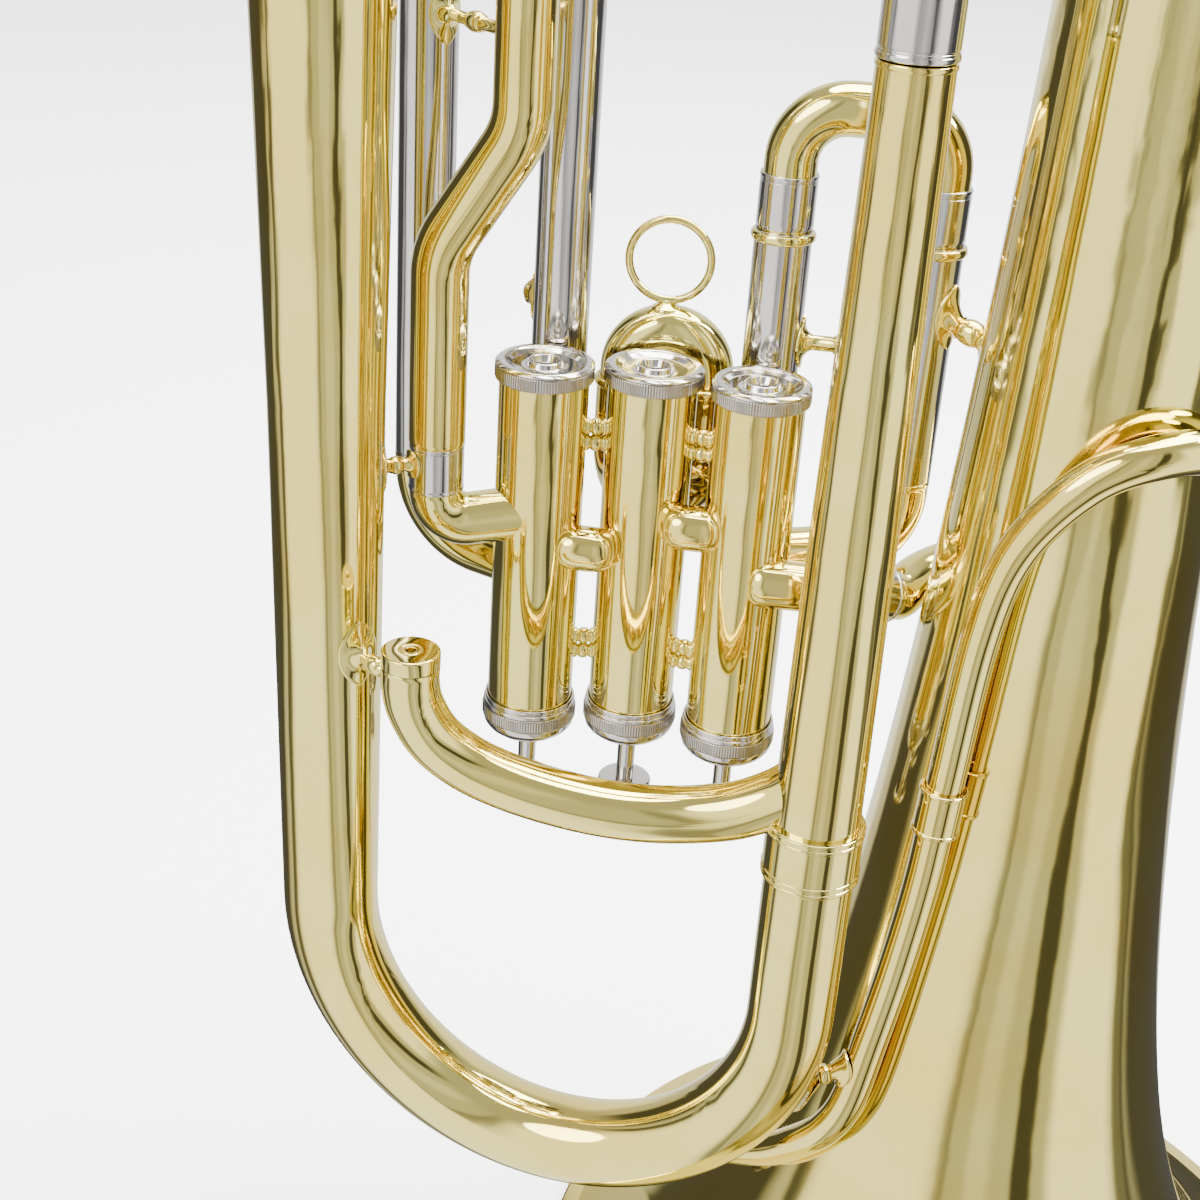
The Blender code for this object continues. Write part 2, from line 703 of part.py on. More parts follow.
def build_slide_sleeves():
    (ax, ay), (bx, by) = SLIDE_1_LEGS
    x1, y1 = VALVES[1]
    z = SLIDE_1_RING_Z - 0.2
    path = route([(ax, ay, z), (ax, ay, 36.0), (x1, y1 + 6, 36.0)], 9.4, 3)
    slide_sleeve("slide_1_sleeve_left", path, z - 0.2, 1, SLIDE_1_LEGS, NICKEL)
    path = route([(bx, by, z), (bx, by, 59.0), (x1 + 8, y1 + 8, 59.0)], 19.0)
    slide_sleeve("slide_1_sleeve_right", path, z - 0.2, 1, SLIDE_1_LEGS, NICKEL)

    x2, y2 = VALVES[2]
    z = SLIDE_2_RING_Z
    for name, (x, y), inward, port_z in zip(("left", "right"), SLIDE_2_LEGS, (-9.0, 9.0), (75.0, 72.0)):
        path = route([(x, y, z), (x, y, port_z), (x2 + inward, y2 + 6, port_z)], 9.2, 3)
        slide_sleeve(f"slide_2_sleeve_{name}", path, z - 0.2, 2, SLIDE_2_LEGS)

    (ax, ay), (bx, by) = SLIDE_3_LEGS
    x3, y3 = VALVES[3]
    path = route(
        [(ax, ay, SLIDE_3_RING_Z), (ax, ay, 49.0), (x3 - 6, y3 + 9, 47.0)], 24.0
    )
    slide_sleeve("slide_3_sleeve_left", path, SLIDE_3_RING_Z - 0.2, 3, SLIDE_3_LEGS, NICKEL)
    path = route([(bx, by, SLIDE_3_RING_Z), (bx, by, 76.0), (x3, y3 + 6, 76.0)], 10.5, 3)
    slide_sleeve("slide_3_sleeve_right", path, SLIDE_3_RING_Z - 0.2, 3, SLIDE_3_LEGS, NICKEL)


def crook(name, legs, ends, bend_z, radii, finish, bend=None):
    """A slide: two straight legs joined by a half-round bend, or by two bends of a smaller radius."""
    first, second = legs
    if bend is None:
        bend = math.dist(first, second) / 2 - 0.01
    top = bend_z + bend
    path = route([(*first, ends[0]), (*first, top), (*second, top), (*second, ends[1])], bend)
    pivot = (first[0], first[1], bend_z)
    pipe(name, path, taper(path, *radii), finish, WALL, SIDES, pivot, between(legs))


def build_slides():
    z = SLIDE_1_RING_Z
    crook(
        "valve_slide_1", SLIDE_1_LEGS, (z - LEG_DEPTH[0],) * 2, SLIDE_1_BEND_Z,
        (TUBE_R, TUBE_R), BRASS, SLIDE_1_BEND_R,
    )
    x2, _ = VALVES[2]
    crook(
        "valve_slide_2", SLIDE_2_LEGS, (SLIDE_2_RING_Z - LEG_DEPTH[1],) * 2,
        SLIDE_2_BEND_Z, (TUBE_R, TUBE_R), BRASS,
    )
    crook(
        "valve_slide_3", SLIDE_3_LEGS, (SLIDE_3_RING_Z - LEG_DEPTH[2],) * 2, SLIDE_3_BEND_Z,
        (TUBE_R, TUBE_R), BRASS,
    )
    legs = (S_UPPER, INNER_LEG)
    low = MAIN_SLEEVE_Z[1] - MAIN_LEG_DEPTH
    crook("main_tuning_slide", legs, (low, low), MAIN_BEND_Z, MAIN_LEG_R, BRASS)
    (ax, y), (bx, _) = SLIDE_2_LEGS
    crown = SLIDE_2_BEND_Z + (bx - ax) / 2 + TUBE_R
    ring_z = crown + GAP + PULL_RING_R + PULL_RING_WIRE_R
    angles = np.linspace(0, 2 * math.pi, 20, endpoint=False)
    circle = [
        (x2 + PULL_RING_R * math.cos(a), y, ring_z + PULL_RING_R * math.sin(a))
        for a in angles
    ]
    points = rings(circle, PULL_RING_WIRE_R, 6, True)
    add_object("pull_ring_2", points, ring_faces(20, 6, True), BRASS, (x2, y, ring_z))


def build_main_sleeves():
    for name, (x, y), leg_r in (
        ("main_sleeve_valve_side", S_UPPER, MAIN_LEG_R[0]),
        ("main_sleeve_branch_side", INNER_LEG, MAIN_LEG_R[1]),
    ):
        radius = leg_r + GAP + 0.6
        facing = between((S_UPPER, INNER_LEG))
        pipe(name, along_z(x, y, *MAIN_SLEEVE_Z), radius, NICKEL, 0.6, seed=facing)


def build_s_tube():
    x3, y3 = VALVES[3]
    low, high = S_FERRULE_Z
    corner = (*S_LOWER, S_PORT_Z - 5)
    elbow = route([(x3 - 4, y3 - 5, S_PORT_Z), corner, (*S_LOWER, low - GAP)], 9.5, 3)
    tube = pipe("s_tube_elbow", elbow, S_ELBOW_R, BRASS)
    boolean(tube, casing_cutter(3))
    pipe("s_tube_ferrule", along_z(*S_LOWER, low, high), S_ELBOW_R - 0.1, NICKEL)
    path = route(
        [
            (*S_LOWER, high + GAP), (*S_LOWER, S_OFFSET_Z[0]), (*S_UPPER, S_OFFSET_Z[1]),
            (*S_UPPER, MAIN_SLEEVE_Z[0] - GAP),
        ],
        26.0,
        8,
    )
    pipe("s_tube", path, S_TUBE_R, BRASS)


def build_leadpipe():
    x1, _ = VALVES[1]
    mouth = np.array(PORT_SLEEVE_START)
    start = np.array((55.0, PORT_TUBE_Y, PORT_TUBE_Z))
    ahead = (mouth - start) / np.linalg.norm(mouth - start)
    path = route([(x1 + 3, PORT_TUBE_Y, PORT_TUBE_Z), start, mouth], 24.0)
    tube = pipe("port_tube_1", path, LEAD_R[0], BRASS)
    boolean(tube, casing_cutter(1))
    joint = mouth + ahead * (PORT_SLEEVE_LENGTH + GAP)
    pipe("port_sleeve", [mouth + ahead * GAP, joint], LEAD_R[0] + 0.9, NICKEL)

    first = joint + ahead * GAP
    path = smooth_route([first + ahead * 4.0, *lead_wrap(), *LEAD_POINTS], 29)
    path = np.vstack((first, path))
    along = lengths(path)
    narrow = along[int(np.argmin(np.abs(path[:, 2] - LEAD_POINTS[1][2]) + 1e3 * (path[:, 1] > -45)))]
    radii = np.interp(along, (0.0, narrow), LEAD_R)
    pipe("leadpipe", path, radii, BRASS, WALL, THIN_SIDES)
    low, high = LEAD_FERRULE_Z
    stretch = [point for point in path if low - 20 < point[2] < high + 20 and point[1] < -45]
    ends = [np.array([np.interp(z, *column(stretch, axis)) for axis in range(3)]) for z in (high, low)]
    pipe("leadpipe_ferrule", ends, LEAD_R[1] + GAP + 0.9, BRASS, 0.6, THIN_SIDES)

    axis = path[-1] - path[-2]
    axis /= np.linalg.norm(axis)
    start = path[-1] + axis * GAP
    stations = (
        (0.0, RECEIVER_R - 1.4), (3.0, RECEIVER_R - 1.4), (3.5, RECEIVER_R - 0.6),
        (25.0, RECEIVER_R), (30.0, RECEIVER_R),
    )
    pipe(
        "mouthpiece_receiver",
        [start + axis * s for s, _ in stations],
        [r for _, r in stations],
        NICKEL,
        0.8,
    )


def lead_wrap():
    """The leadpipe's turn round the back of the bell, which it clears by a constant gap."""
    points = []
    for bearing, z in LEAD_WRAP:
        reach = bell_radius(z) + LEAD_R[0] + LEAD_BELL_GAP
        x = BELL_AXIS[0] + reach * math.cos(math.radians(bearing))
        y = BELL_AXIS[1] + reach * math.sin(math.radians(bearing))
        points.append((x, y, z))
    return points


def column(points, axis):
    """Heights, from the lowest, and one coordinate of a run of points, for np.interp."""
    ordered = sorted(points, key=lambda point: point[2])
    return [point[2] for point in ordered], [point[axis] for point in ordered]


def build_guard():
    x, y, z = GUARD_TOP
    path = smooth_route([GUARD_TOP, (x, y, z - 6.0), *GUARD_POINTS], 14)
    tube = pipe("hand_guard", path, GUARD_R, BRASS, 0.9)
    clearances = (
        ("branch_clearance", 60.0, radius_at(INNER_R, 15.0) + 2 * GAP),
        ("ferrule_clearance", U_FERRULE_Z[1] + GAP, ferrule_bore() + 0.9 + GAP),
    )
    for name, top, radius in clearances:
        boolean(tube, cylinder(name, (*INNER_LEG, -60.0), (*INNER_LEG, top), radius))
    turned(
        "hand_guard_plug",
        [
            (GUARD_R + 0.1, z + PLUG_LENGTH), (GUARD_R + 0.1, z + 2 * GAP), (1.5, z + 2 * GAP),
            (1.5, z + PLUG_LENGTH),
        ],
        (x, y),
        BRASS,
        SIDES,
    )


def build_braces():
    up = (0.0, 0.0, 1.0)
    outer = Tube((*OUTER_LEG, 35.5), up, radius_at(OUTER_R, 35.5))
    guard = Tube((*GUARD_TOP[:2], 35.5), up, GUARD_R)
    brace("guard_brace", outer, guard, 11.0, 3.6, 1.9, 3.0)
    outer = Tube((*OUTER_LEG, 88.0), up, radius_at(OUTER_R, 88.0))
    tube = Tube((*S_LOWER, 87.0), up, S_ELBOW_R - 0.1)
    brace("s_tube_brace", outer, tube, 9.5, 4.5, 1.7, 2.2)
    leg = Tube((*SLIDE_3_LEGS[0], 213.5), up, SLEEVE_R)
    tube = Tube((*S_UPPER, 213.5), up, S_TUBE_R)
    brace("slide_3_brace", leg, tube, 7.0, 4.5, 1.8, 3.0)
    left, right = (Tube((*leg, 124.3), up, SLEEVE_R) for leg in SLIDE_1_LEGS)
    brace("slide_1_stay", left, right, 6.5, 6.5, 2.4, 3.2)
    leg = Tube((*SLIDE_1_LEGS[1], 138.0), up, SLEEVE_R)
    bell = Tube((*BELL_AXIS, 127.0), up, bell_radius(127.0) + 0.6)
    brace("bell_brace", leg, bell, 8.0, 6.5, 2.6, 4.0)
    limb = Tube((57.4, -60.9, -90.0), (-0.42, 0.09, -0.9), 14.2)
    lead = Tube((86.0, -57.8, -84.0), (0.16, 0.08, 1.0), LEAD_R[1])
    brace("leadpipe_brace", limb, lead, 6.0, 6.0, 3.0, 0.0)


def build_water_key():
    """A push-button drain valve: a leaf-shaped saddle with a boss, and the button in it."""
    x, y = SLIDE_3_LEGS[1]
    out = np.array((math.cos(WATER_KEY_ANGLE), math.sin(WATER_KEY_ANGLE), 0.0))
    tube = Tube((x, y, WATER_KEY_Z), (0.0, 0.0, 1.0), SLEEVE_R)
    sides = 12
    angles = 2 * math.pi * np.arange(sides) / sides
    leaf = WATER_KEY_LEAF * np.abs(np.cos(angles)) ** 3 + WATER_KEY_BOSS_R + 0.8
    base, top = SLEEVE_R + SADDLE_GAP, SLEEVE_R + SADDLE_GAP + WATER_KEY_HEIGHT

    def boss_ring(radius, reach):
        across = np.array((-out[1], out[0], 0.0))
        centre = np.array((x, y, WATER_KEY_Z)) + out * reach
        return [centre + radius * (math.cos(a) * tube.axis + math.sin(a) * across) for a in angles]

    def leaf_ring(share, height):
        return [wrapped(tube, out, r * share, height, a) for r, a in zip(leaf, angles)]

    loops = [
        leaf_ring(0.02, SADDLE_GAP), leaf_ring(0.5, SADDLE_GAP), leaf_ring(1.0, SADDLE_GAP),
        leaf_ring(1.0, SADDLE_GAP + 0.9), boss_ring(WATER_KEY_BOSS_R, base + 1.6),
        boss_ring(WATER_KEY_BOSS_R, top), boss_ring(WATER_KEY_BUTTON_R + GAP, top),
        boss_ring(WATER_KEY_BUTTON_R + GAP, base + 0.9), boss_ring(0.05, base + 0.9),
    ]
    faces = ring_faces(len(loops), sides)
    last = (len(loops) - 1) * sides
    faces += [tuple(range(sides)), tuple(last + j for j in range(sides))]
    add_object("water_key_body", np.array(loops).reshape(-1, 3), faces, BRASS)
    centre = np.array((x, y, WATER_KEY_Z))
    inner = centre + out * (base + 0.9 + GAP + WATER_KEY_TRAVEL)
    outer = centre + out * (top + WATER_KEY_TRAVEL + 0.6)
    rod(
        "water_key_button", [inner, outer - out * 0.6, outer],
        [WATER_KEY_BUTTON_R, WATER_KEY_BUTTON_R, WATER_KEY_BUTTON_R - 0.6],
        BRASS, THIN_SIDES, pivot=tuple(inner),
    )


def main():
    clear_scene()
    build_bell()
    build_bow()
    build_branches()
    build_valves()
    build_knuckles()
    build_slide_sleeves()
    build_slides()
    build_main_sleeves()
    build_s_tube()
    build_leadpipe()
    build_guard()
    build_braces()
    build_water_key()


main()
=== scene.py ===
import math

import bpy
import numpy as np
from mathutils import Matrix, Vector


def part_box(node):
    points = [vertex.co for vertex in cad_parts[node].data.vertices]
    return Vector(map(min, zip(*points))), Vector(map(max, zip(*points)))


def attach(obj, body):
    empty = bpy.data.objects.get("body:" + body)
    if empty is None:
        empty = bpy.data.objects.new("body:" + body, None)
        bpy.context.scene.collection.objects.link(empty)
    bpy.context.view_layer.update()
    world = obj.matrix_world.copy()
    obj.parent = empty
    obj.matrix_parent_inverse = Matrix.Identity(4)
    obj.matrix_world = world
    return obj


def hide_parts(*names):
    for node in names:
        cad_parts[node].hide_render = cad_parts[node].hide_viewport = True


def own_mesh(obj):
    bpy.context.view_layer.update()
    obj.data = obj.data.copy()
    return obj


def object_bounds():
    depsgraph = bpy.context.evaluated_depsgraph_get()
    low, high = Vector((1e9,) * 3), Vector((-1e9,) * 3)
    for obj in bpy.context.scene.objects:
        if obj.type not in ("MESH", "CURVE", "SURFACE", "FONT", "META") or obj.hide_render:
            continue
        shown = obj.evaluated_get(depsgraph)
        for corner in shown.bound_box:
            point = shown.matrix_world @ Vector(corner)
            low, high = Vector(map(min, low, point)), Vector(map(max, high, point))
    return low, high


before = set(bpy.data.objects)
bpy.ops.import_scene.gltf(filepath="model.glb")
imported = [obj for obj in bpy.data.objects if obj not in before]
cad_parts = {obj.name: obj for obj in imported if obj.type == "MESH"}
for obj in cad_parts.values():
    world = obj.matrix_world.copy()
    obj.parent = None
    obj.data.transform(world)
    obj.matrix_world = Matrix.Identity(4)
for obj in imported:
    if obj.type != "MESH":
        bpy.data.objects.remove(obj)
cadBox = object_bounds()
print("frame loaded:", len(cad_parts), "nodes")

# Lengths here are millimetres, measured from the middle valve's line and the casings' finger end.
mm = 0.001
casingLow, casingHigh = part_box("valve_casing_2")
casingBottom = -4.0
middleValveBack = 5.5
origin = np.array(
    (
        (casingLow.x + casingHigh.x) / 2,
        (casingLow.y + casingHigh.y) / 2 - middleValveBack * mm,
        casingLow.z - casingBottom * mm,
    )
)
upward = np.array((0.0, 0.0, 1.0))


def toWorld(points):
    # metres from millimetres, then the shift to the shared frame
    return np.asarray(points, float) * mm + origin


def unit(vector):
    vector = np.asarray(vector, float)
    return vector / np.linalg.norm(vector)


class Value:
    def __init__(self, graph, socket):
        self.graph = graph
        self.socket = socket

    def apply(self, operation, first, second=0.0):
        return self.graph.out("ShaderNodeMath", 0, {"operation": operation}, {0: first, 1: second})

    def __add__(self, other):
        return self.apply("ADD", self, other)

    def __sub__(self, other):
        return self.apply("SUBTRACT", self, other)

    def __rsub__(self, other):
        return self.apply("SUBTRACT", other, self)

    def __mul__(self, other):
        return self.apply("MULTIPLY", self, other)

    __radd__ = __add__
    __rmul__ = __mul__

    def size(self):
        return self.apply("ABSOLUTE", self)

    def smooth(self, low, high):
        return self.graph.out(
            "ShaderNodeMapRange", 0, {"interpolation_type": "SMOOTHSTEP"}, {0: self, 1: low, 2: high}
        )


class Graph:
    def __init__(self, tree):
        self.tree = tree

    def node(self, kind, settings=None, inputs=None):
        made = self.tree.nodes.new(kind)
        for key, value in (settings or {}).items():
            setattr(made, key, value)
        for key, value in (inputs or {}).items():
            if isinstance(value, Value):
                self.tree.links.new(value.socket, made.inputs[key])
            else:
                made.inputs[key].default_value = value
        return made

    def out(self, kind, output, settings=None, inputs=None):
        return Value(self, self.node(kind, settings, inputs).outputs[output])

    def noise(self, place, scale, detail=2.0, roughness=0.5):
        inputs = {"Vector": place, "Scale": scale, "Detail": detail, "Roughness": roughness}
        return self.out("ShaderNodeTexNoise", 0, None, inputs)

    def mix(self, share, first, second):
        return self.out("ShaderNodeMix", 2, {"data_type": "RGBA"}, {0: share, 6: first, 7: second})

    def stretch(self, place, scale):
        return self.out("ShaderNodeMapping", 0, None, {"Vector": place, "Scale": scale})


# Scales are cycles per metre. Tints run from clean metal to the warmer tone of handled metal.
brassLook = {
    "tint": (0.80, 0.69, 0.19, 1.0), "warm": (0.82, 0.60, 0.12, 1.0), "patchScale": 22.0,
    "rough": 0.035, "roughSpread": 0.05, "grainScale": 900.0, "waveScale": 38.0, "waveDepth": 0.00016,
    "coat": 0.35, "coatRough": 0.02,
}
nickelLook = {
    "tint": (0.62, 0.60, 0.58, 1.0), "warm": (0.53, 0.50, 0.46, 1.0), "patchScale": 30.0,
    "rough": 0.06, "roughSpread": 0.07, "grainScale": 1100.0, "waveScale": 45.0, "waveDepth": 0.0001,
    "coat": 0.0, "coatRough": 0.05,
}
turnedLook = {
    "tint": (0.42, 0.39, 0.36, 1.0), "warm": (0.34, 0.31, 0.27, 1.0), "patchScale": 60.0,
    "rough": 0.12, "roughSpread": 0.12, "grainScale": 1500.0, "waveScale": 90.0, "waveDepth": 0.00005,
    "coat": 0.0, "coatRough": 0.05,
}
steelLook = {
    "tint": (0.52, 0.52, 0.53, 1.0), "warm": (0.40, 0.38, 0.36, 1.0), "patchScale": 90.0,
    "rough": 0.24, "roughSpread": 0.12, "grainScale": 1800.0, "waveScale": 120.0, "waveDepth": 0.00005,
    "coat": 0.0, "coatRough": 0.05,
}


def metal(name, look):
    # polished metal whose tint and roughness wander a little over the surface
    material = bpy.data.materials.new(name)
    material.use_nodes = True
    graph = Graph(material.node_tree)
    shader = material.node_tree.nodes["Principled BSDF"]
    place = graph.out("ShaderNodeTexCoord", "Object")
    patches = graph.noise(place, look["patchScale"], 3.0).smooth(0.36, 0.66)
    # long polishing marks, finer across the tube than along it
    marks = graph.noise(graph.stretch(place, (1.0, 1.0, 0.12)), look["grainScale"], 3.0, 0.7)
    spots = graph.noise(place, look["grainScale"] * 0.3, 2.0).smooth(0.68, 0.8)
    # colour = tint, warmed in patches, then a little darker at lacquer specks
    warmed = graph.mix(patches * 0.7, look["tint"], look["warm"])
    dark = tuple(0.75 * channel for channel in look["warm"][:3]) + (1.0,)
    colour = graph.mix(spots * 0.25, warmed, dark)
    # roughness = base + spread x marks + a trace of the patches
    roughness = look["rough"] + marks * look["roughSpread"] + patches * 0.015
    wave = graph.noise(place, look["waveScale"], 2.0)
    bump = graph.out(
        "ShaderNodeBump", 0, None, {"Strength": 1.0, "Distance": look["waveDepth"], "Height": wave}
    )
    tree = material.node_tree
    tree.links.new(colour.socket, shader.inputs["Base Color"])
    tree.links.new(roughness.socket, shader.inputs["Roughness"])
    tree.links.new(bump.socket, shader.inputs["Normal"])
    shader.inputs["Metallic"].default_value = 1.0
    shader.inputs["Coat Weight"].default_value = look["coat"]
    shader.inputs["Coat Roughness"].default_value = look["coatRough"]
    return material


def paintedHoleShade():
    # painted shade: a near-black colour, wandering a little, stands in for the unlit inside of a small hole
    material = bpy.data.materials.new("paintedHoleShade")
    material.use_nodes = True
    graph = Graph(material.node_tree)
    shader = material.node_tree.nodes["Principled BSDF"]
    place = graph.out("ShaderNodeTexCoord", "Object")
    # the painted shade wanders between two near-black tones
    shadeNoise = graph.noise(place, 400.0, 3.0).smooth(0.35, 0.7)
    colour = graph.mix(shadeNoise, (0.010, 0.009, 0.008, 1.0), (0.05, 0.04, 0.03, 1.0))
    material.node_tree.links.new(colour.socket, shader.inputs["Base Color"])
    shader.inputs["Roughness"].default_value = 0.6
    return material


brass = metal("lacqueredBrass", brassLook)
nickel = metal("nickelSilver", nickelLook)
turnedNickel = metal("turnedNickel", turnedLook)
steel = metal("springSteel", steelLook)
holeShade = paintedHoleShade()
print("materials made")


def straight(x, y, low, high):
    # an upright line between two heights
    return np.array(((x, y, low), (x, y, high)), float)


def rounded(corners, bends, step=1.2):
    # straight runs joined by arcs of the given bend radii
    corners = np.asarray(corners, float)
    bends = np.broadcast_to(bends, len(corners) - 2)
    runs = [corners[:1]]
    for i, bend in enumerate(bends):
        at = corners[i + 1]
        into = unit(at - corners[i])
        out = unit(corners[i + 2] - at)
        turn = math.acos(float(np.clip(into @ out, -1.0, 1.0)))
        inward = unit(out - into * (out @ into))
        start = at - into * bend * math.tan(turn / 2)
        angle = np.linspace(0.0, turn, max(4, int(bend * turn / step)))[:, None]
        runs.append(start + bend * (np.sin(angle) * into + (1 - np.cos(angle)) * inward))
    runs.append(corners[-1:])
    path = np.vstack(runs)
    keep = np.r_[True, np.linalg.norm(np.diff(path, axis=0), axis=1) > 1e-3]
    return path[keep]


def curveThrough(points, count=24):
    # Catmull-Rom curve through given points
    points = np.asarray(points, float)
    ends = np.vstack((2 * points[0] - points[1], points, 2 * points[-1] - points[-2]))
    a, b, c, d = (ends[i : len(ends) - 3 + i, None] for i in range(4))
    t = np.linspace(0, 1, count, endpoint=False)[None, :, None]
    curve = 0.5 * (
        2 * b + (c - a) * t + (2 * a - 5 * b + 4 * c - d) * t**2 + (3 * b - 3 * c + d - a) * t**3
    )
    return np.vstack((curve.reshape(-1, 3), points[-1]))


def lengths(path):
    # how far along the path each point lies
    return np.r_[0.0, np.cumsum(np.linalg.norm(np.diff(path, axis=0), axis=1))]


def placeAt(path, along):
    total = lengths(path)
    return np.stack([np.interp(along, total, path[:, axis]) for axis in range(3)], -1)


def carry(path, outline, sides=64, ribs=0, ribDepth=0.0):
    # rings round the path: outline rows are (length along, radius, share of ribbing)
    outline = np.asarray(outline, float)
    if outline.shape[1] == 2:
        outline = np.c_[outline, np.zeros(len(outline))]
    path = np.asarray(path, float)
    total = lengths(path)[-1]
    stations, index = np.unique(np.round(outline[:, 0], 4), return_inverse=True)
    reach = 0.4
    ahead = placeAt(path, np.clip(stations, 0, total - reach) + reach)
    behind = placeAt(path, np.clip(stations, reach, total) - reach)
    tangents = ahead - behind
    tangents /= np.linalg.norm(tangents, axis=1)[:, None]
    seed = np.array((1.0, 0.0, 0.0)) if abs(tangents[0][0]) < 0.8 else upward
    normals = np.empty_like(tangents)
    for i, tangent in enumerate(tangents):
        seed = unit(seed - tangent * (tangent @ seed))
        normals[i] = seed
    others = np.cross(tangents, normals)
    inside = placeAt(path, stations)
    # stations past the path's ends go straight on
    past = stations - np.clip(stations, 0, total)
    inside = inside + tangents * past[:, None]
    angle = 2 * np.pi * np.arange(sides) / sides
    ribbing = ribDepth * outline[:, 2:3] * (0.5 - 0.5 * np.cos(ribs * angle)) ** 2
    radius = outline[:, 1:2] - ribbing
    index = index.reshape(-1)
    across = normals[index][:, None] * np.cos(angle)[None, :, None]
    across = across + others[index][:, None] * np.sin(angle)[None, :, None]
    return inside[index][:, None] + radius[:, :, None] * across


def cope(grid, axis, way, radius=13.2):
    # points inside an upright cylinder slide back along a direction until they lie on it
    offset = grid[..., :2] - np.array(axis, float)
    way = unit(way)
    flat = way[:2] @ way[:2]
    dot = offset @ way[:2]
    short = radius**2 - np.einsum("...i,...i->...", offset, offset)
    back = (dot + np.sqrt(np.maximum(dot**2 + flat * short, 0.0))) / flat
    back = np.where(short > 0, back, 0.0)
    return grid - back[..., None] * way


def soften(outline, radius=0.3, steps=4):
    # each corner of a closed outline becomes a small curve
    outline = np.asarray(outline, float)
    before = np.roll(outline, 1, 0)
    after = np.roll(outline, -1, 0)
    toBefore = before - outline
    toAfter = after - outline
    lengthBefore = np.linalg.norm(toBefore[:, :2], axis=1)[:, None]
    lengthAfter = np.linalg.norm(toAfter[:, :2], axis=1)[:, None]
    cut = np.minimum(radius, 0.4 * np.minimum(lengthBefore, lengthAfter))
    start = outline + toBefore / lengthBefore * cut
    end = outline + toAfter / lengthAfter * cut
    t = np.linspace(0, 1, steps)[None, :, None]
    curve = (1 - t) ** 2 * start[:, None] + 2 * t * (1 - t) * outline[:, None] + t**2 * end[:, None]
    return curve.reshape(-1, outline.shape[1])


def tubeOutline(length, radius, wall=0.7, beads=(), start=0.0, step=1.3):
    # outer wall out, inner wall back; radius is a number or a function of length,
    # and each bead (place, half width, height) adds half an ellipse to the outer wall
    sizeAt = radius if callable(radius) else lambda s: np.full_like(s, radius)
    spots = [np.arange(start + 0.25, length - 0.25, step), [start + 0.25, length - 0.25]]
    for place, half, _ in beads:
        spots.append(place + half * np.linspace(-1.0, 1.0, 11))
    along = np.unique(np.concatenate([np.asarray(s, float) for s in spots]))
    outer = sizeAt(along).astype(float)
    for place, half, height in beads:
        share = np.clip(1 - ((along - place) / half) ** 2, 0, 1)
        outer = outer + height * np.sqrt(share)
    inner = sizeAt(along) - wall
    lipLow = [(start, float(inner[0]) + 0.1), (start, float(outer[0]) - 0.18)]
    lipHigh = [(length, float(outer[-1]) - 0.18), (length, float(inner[-1]) + 0.1)]
    return np.vstack((lipLow, np.c_[along, outer], lipHigh, np.c_[along, inner][::-1]))


def gridMesh(grids):
    # grids are closed: their rings and their rows both wrap round
    corners, quads, base = [], [], 0
    for grid in grids:
        rows, columns = grid.shape[:2]
        index = base + np.arange(rows * columns).reshape(rows, columns)
        across = np.roll(index, -1, 1)
        below = np.roll(index, -1, 0)
        faces = np.stack((index, across, np.roll(across, -1, 0), below), -1).reshape(-1, 4)
        points = grid.reshape(-1, 3)
        a, b, c, d = (points[faces[:, k] - base] for k in range(4))
        # six times the volume, whose sign says which way the faces look
        turned = np.einsum("ij,ij->", a, np.cross(b, c)) + np.einsum("ij,ij->", a, np.cross(c, d))
        quads.append(faces if turned > 0 else faces[:, ::-1])
        corners.append(points)
        base += rows * columns
    return np.vstack(corners), np.vstack(quads)


def piece(name, grids, material, body="root", nodes=(), sharp=50.0):
    points, faces = gridMesh(grids)
    mesh = bpy.data.meshes.new(name)
    mesh.vertices.add(len(points))
    mesh.vertices.foreach_set("co", toWorld(points).astype(np.float32).ravel())
    mesh.loops.add(faces.size)
    mesh.loops.foreach_set("vertex_index", faces.astype(np.int32).ravel())
    mesh.polygons.add(len(faces))
    mesh.polygons.foreach_set("loop_start", np.arange(0, faces.size, 4, dtype=np.int32))
    mesh.update(calc_edges=True)
    mesh.shade_smooth()
    mesh.set_sharp_from_angle(angle=math.radians(sharp))
    mesh.materials.append(material)
    made = bpy.data.objects.new(name, mesh)
    bpy.context.scene.collection.objects.link(made)
    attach(made, body)
    if nodes:
        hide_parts(*nodes)
    return made


def tube(
    name, path, radius, material, body="root", nodes=(), wall=0.7, beads=(), sides=64, step=1.3, into=None
):
    # into is the axis of an upright casing that the tube's far end is fitted round
    path = np.asarray(path, float)
    total = lengths(path)[-1]
    grid = carry(path, tubeOutline(total, radius, wall, beads, step=step), sides)
    if into is not None:
        grid = cope(grid, into, path[-1] - path[-2])
    return piece(name, [grid], material, body, nodes)


def lathe(name, x, y, outline, material, body="root", nodes=(), sides=96, ribs=0, ribDepth=0.0):
    # outline rows are (height, radius, share of ribbing)
    path = straight(x, y, 0.0, 1.0)
    grid = carry(path, outline, sides, ribs, ribDepth)
    return piece(name, [grid], material, body, nodes)


valves = {1: (32.5, 0.0), 2: (0.0, middleValveBack), 3: (-32.5, 0.0)}
bell = {
    "axis": (127.8, -8.0), "rimZ": -226.0, "flare": 40.0, "power": 0.602, "wall": 0.9,
    "bead": 2.4, "topZ": 322.0, "fullR": 140.0,
}
# the bead's outer edge keeps inside the box of the solid bell
bell["reach"] = (cadBox[1][1] - cadBox[0][1]) / 2 / mm - bell["bead"]


def bellRadius(z):
    # a power of the distance from the rim
    return bell["fullR"] * (bell["flare"] / (z - bell["rimZ"] + bell["flare"])) ** bell["power"]


